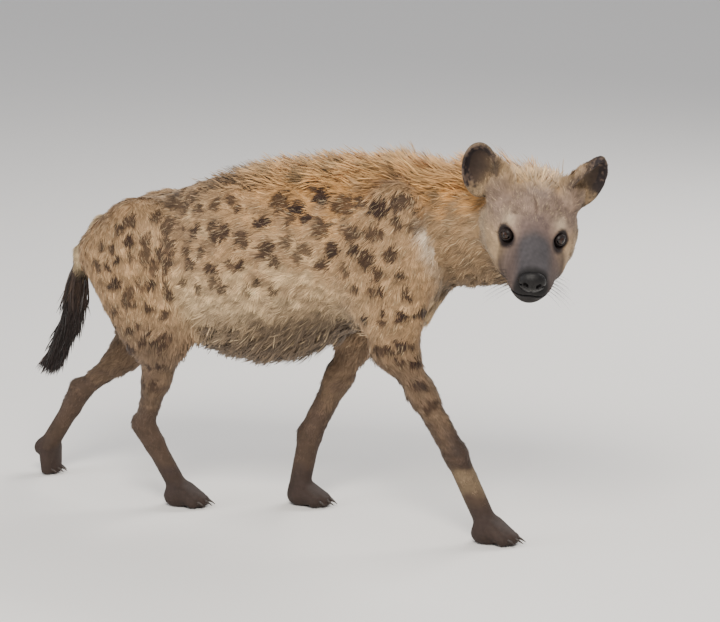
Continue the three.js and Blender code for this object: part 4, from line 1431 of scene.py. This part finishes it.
def make_whiskers():
    r = np.random.default_rng(91)
    t = np.linspace(0, 1, HAIR_RINGS)[:, None]
    verts, quads = [], []
    for side in (-1, 1):
        for n in range(ALL_HAIRS):
            if n < LIP_HAIRS:
                row, place = divmod(n, 5)
                at = V(98 - 9 * place + r.uniform(-2, 2), side * 60, -40 - 7 * row)
                way = unit(V(0.15 - 0.10 * place, side, -0.25 - 0.1 * row))
                long = r.uniform(30, 56)
                inward = V(0, -side, 0)
            else:
                across = side * (EYE_SPREAD - 5 + 2 * (n - LIP_HAIRS))
                at = V(6 + r.uniform(-4, 4), across, 90)
                way = unit(V(0.9, side * 0.5, 0.7))
                long = r.uniform(20, 30)
                inward = DOWN
            for _ in range(30):
                at = at + inward * head_flesh(at[None])[0] * 0.7
            at = at + inward * 3
            quads.append(tube_quads(HAIR_RINGS, 3, len(verts) * HAIR_RINGS * 3))
            a = unit(np.cross(way, V(0, 0, 1)))
            centres = at + way * long * t + DOWN * long * 0.32 * t * t
            radii = HAIR_R * (1 - 0.85 * t[:, 0])
            verts.append(tube_points(centres, radii, a, np.cross(way, a), THREE_WAYS))
    verts = from_head(np.concatenate(verts))
    obj = make_mesh("whiskers", verts, np.concatenate(quads))
    paint(obj, np.tile(WHISKER_DARK, (len(verts), 1)))
    finish_piece(obj, WHISKER, "whisker")


make_whiskers()


# The camera stands where the photograph was taken from.
PHOTO = dict(width=720, height=622)
CAMERA = dict(azimuth=27, elevation=10.5, distance=7.0, focal_px=3430)
TARGET = V(0, -45, 450)
TARGET_PX = (280, 300)
SENSOR_MM = 36
SEE_TO_M = 60


def add_camera():
    a, e = math.radians(CAMERA["azimuth"]), math.radians(CAMERA["elevation"])
    back = V(math.sin(a) * math.cos(e), -math.cos(a) * math.cos(e), math.sin(e))
    right = V(math.cos(a), math.sin(a), 0)
    dx = (PHOTO["width"] / 2 - TARGET_PX[0]) / CAMERA["focal_px"]
    dy = (PHOTO["height"] / 2 - TARGET_PX[1]) / CAMERA["focal_px"]
    aim = unit(-back + right * dx - np.cross(back, right) * dy)
    camera = bpy.data.cameras.new("camera")
    camera.sensor_width = SENSOR_MM
    camera.lens = CAMERA["focal_px"] / PHOTO["width"] * SENSOR_MM
    camera.clip_end = SEE_TO_M
    obj = add_object("camera", camera)
    obj.location = Vector(world(TARGET) + back * CAMERA["distance"])
    side = unit(np.cross(aim, V(0, 0, 1)))
    turn = Matrix((side, np.cross(side, aim), -aim)).transposed()
    obj.rotation_euler = turn.to_euler()
    bpy.context.scene.camera = obj


add_camera()


# A plain pale floor, level and wide enough to fill the picture, and soft light.
FLOOR_HALF = 40
FLOOR_COLOUR = (0.84, 0.82, 0.79, 1)
SKY_COLOUR = (0.95, 0.96, 1.0, 1)
SKY_STRENGTH = 0.62


def add_floor():
    mesh = bpy.data.meshes.new("floor")
    corners = [(-1, -1), (1, -1), (1, 1), (-1, 1)]
    verts = [(x * FLOOR_HALF, y * FLOOR_HALF, 0) for x, y in corners]
    mesh.from_pydata(verts, [], [(0, 1, 2, 3)])
    material, _, _ = new_material("floor_paper", Base_Color=FLOOR_COLOUR, Roughness=0.9)
    mesh.materials.append(material)
    floor = add_object("floor", mesh)


def add_light(name, place, aim, size, power, colour):
    lamp = bpy.data.lights.new(name, "AREA")
    lamp.shape = "RECTANGLE"
    lamp.size, lamp.size_y = size
    lamp.energy = power
    lamp.color = colour
    obj = add_object(name, lamp)
    obj.location = Vector(place)
    obj.rotation_euler = (Vector(aim) - Vector(place)).to_track_quat("-Z", "Y").to_euler()


add_floor()
add_light("key", (1.6, -4.2, 4.2), (0, 0, 0.4), (2.4, 1.8), 400, (1.0, 0.95, 0.87))
add_light("fill", (-4.2, -3.0, 2.4), (0, 0, 0.4), (3.0, 3.0), 80, (0.94, 0.97, 1.0))
add_light("rim", (1.0, 4.0, 3.6), (0, 0, 0.5), (3.5, 1.5), 190, (1.0, 0.97, 0.93))
sky = bpy.data.worlds.new("sky")
sky.use_nodes = True
set_inputs(sky.node_tree.nodes["Background"], Color=SKY_COLOUR, Strength=SKY_STRENGTH)
bpy.context.scene.world = sky
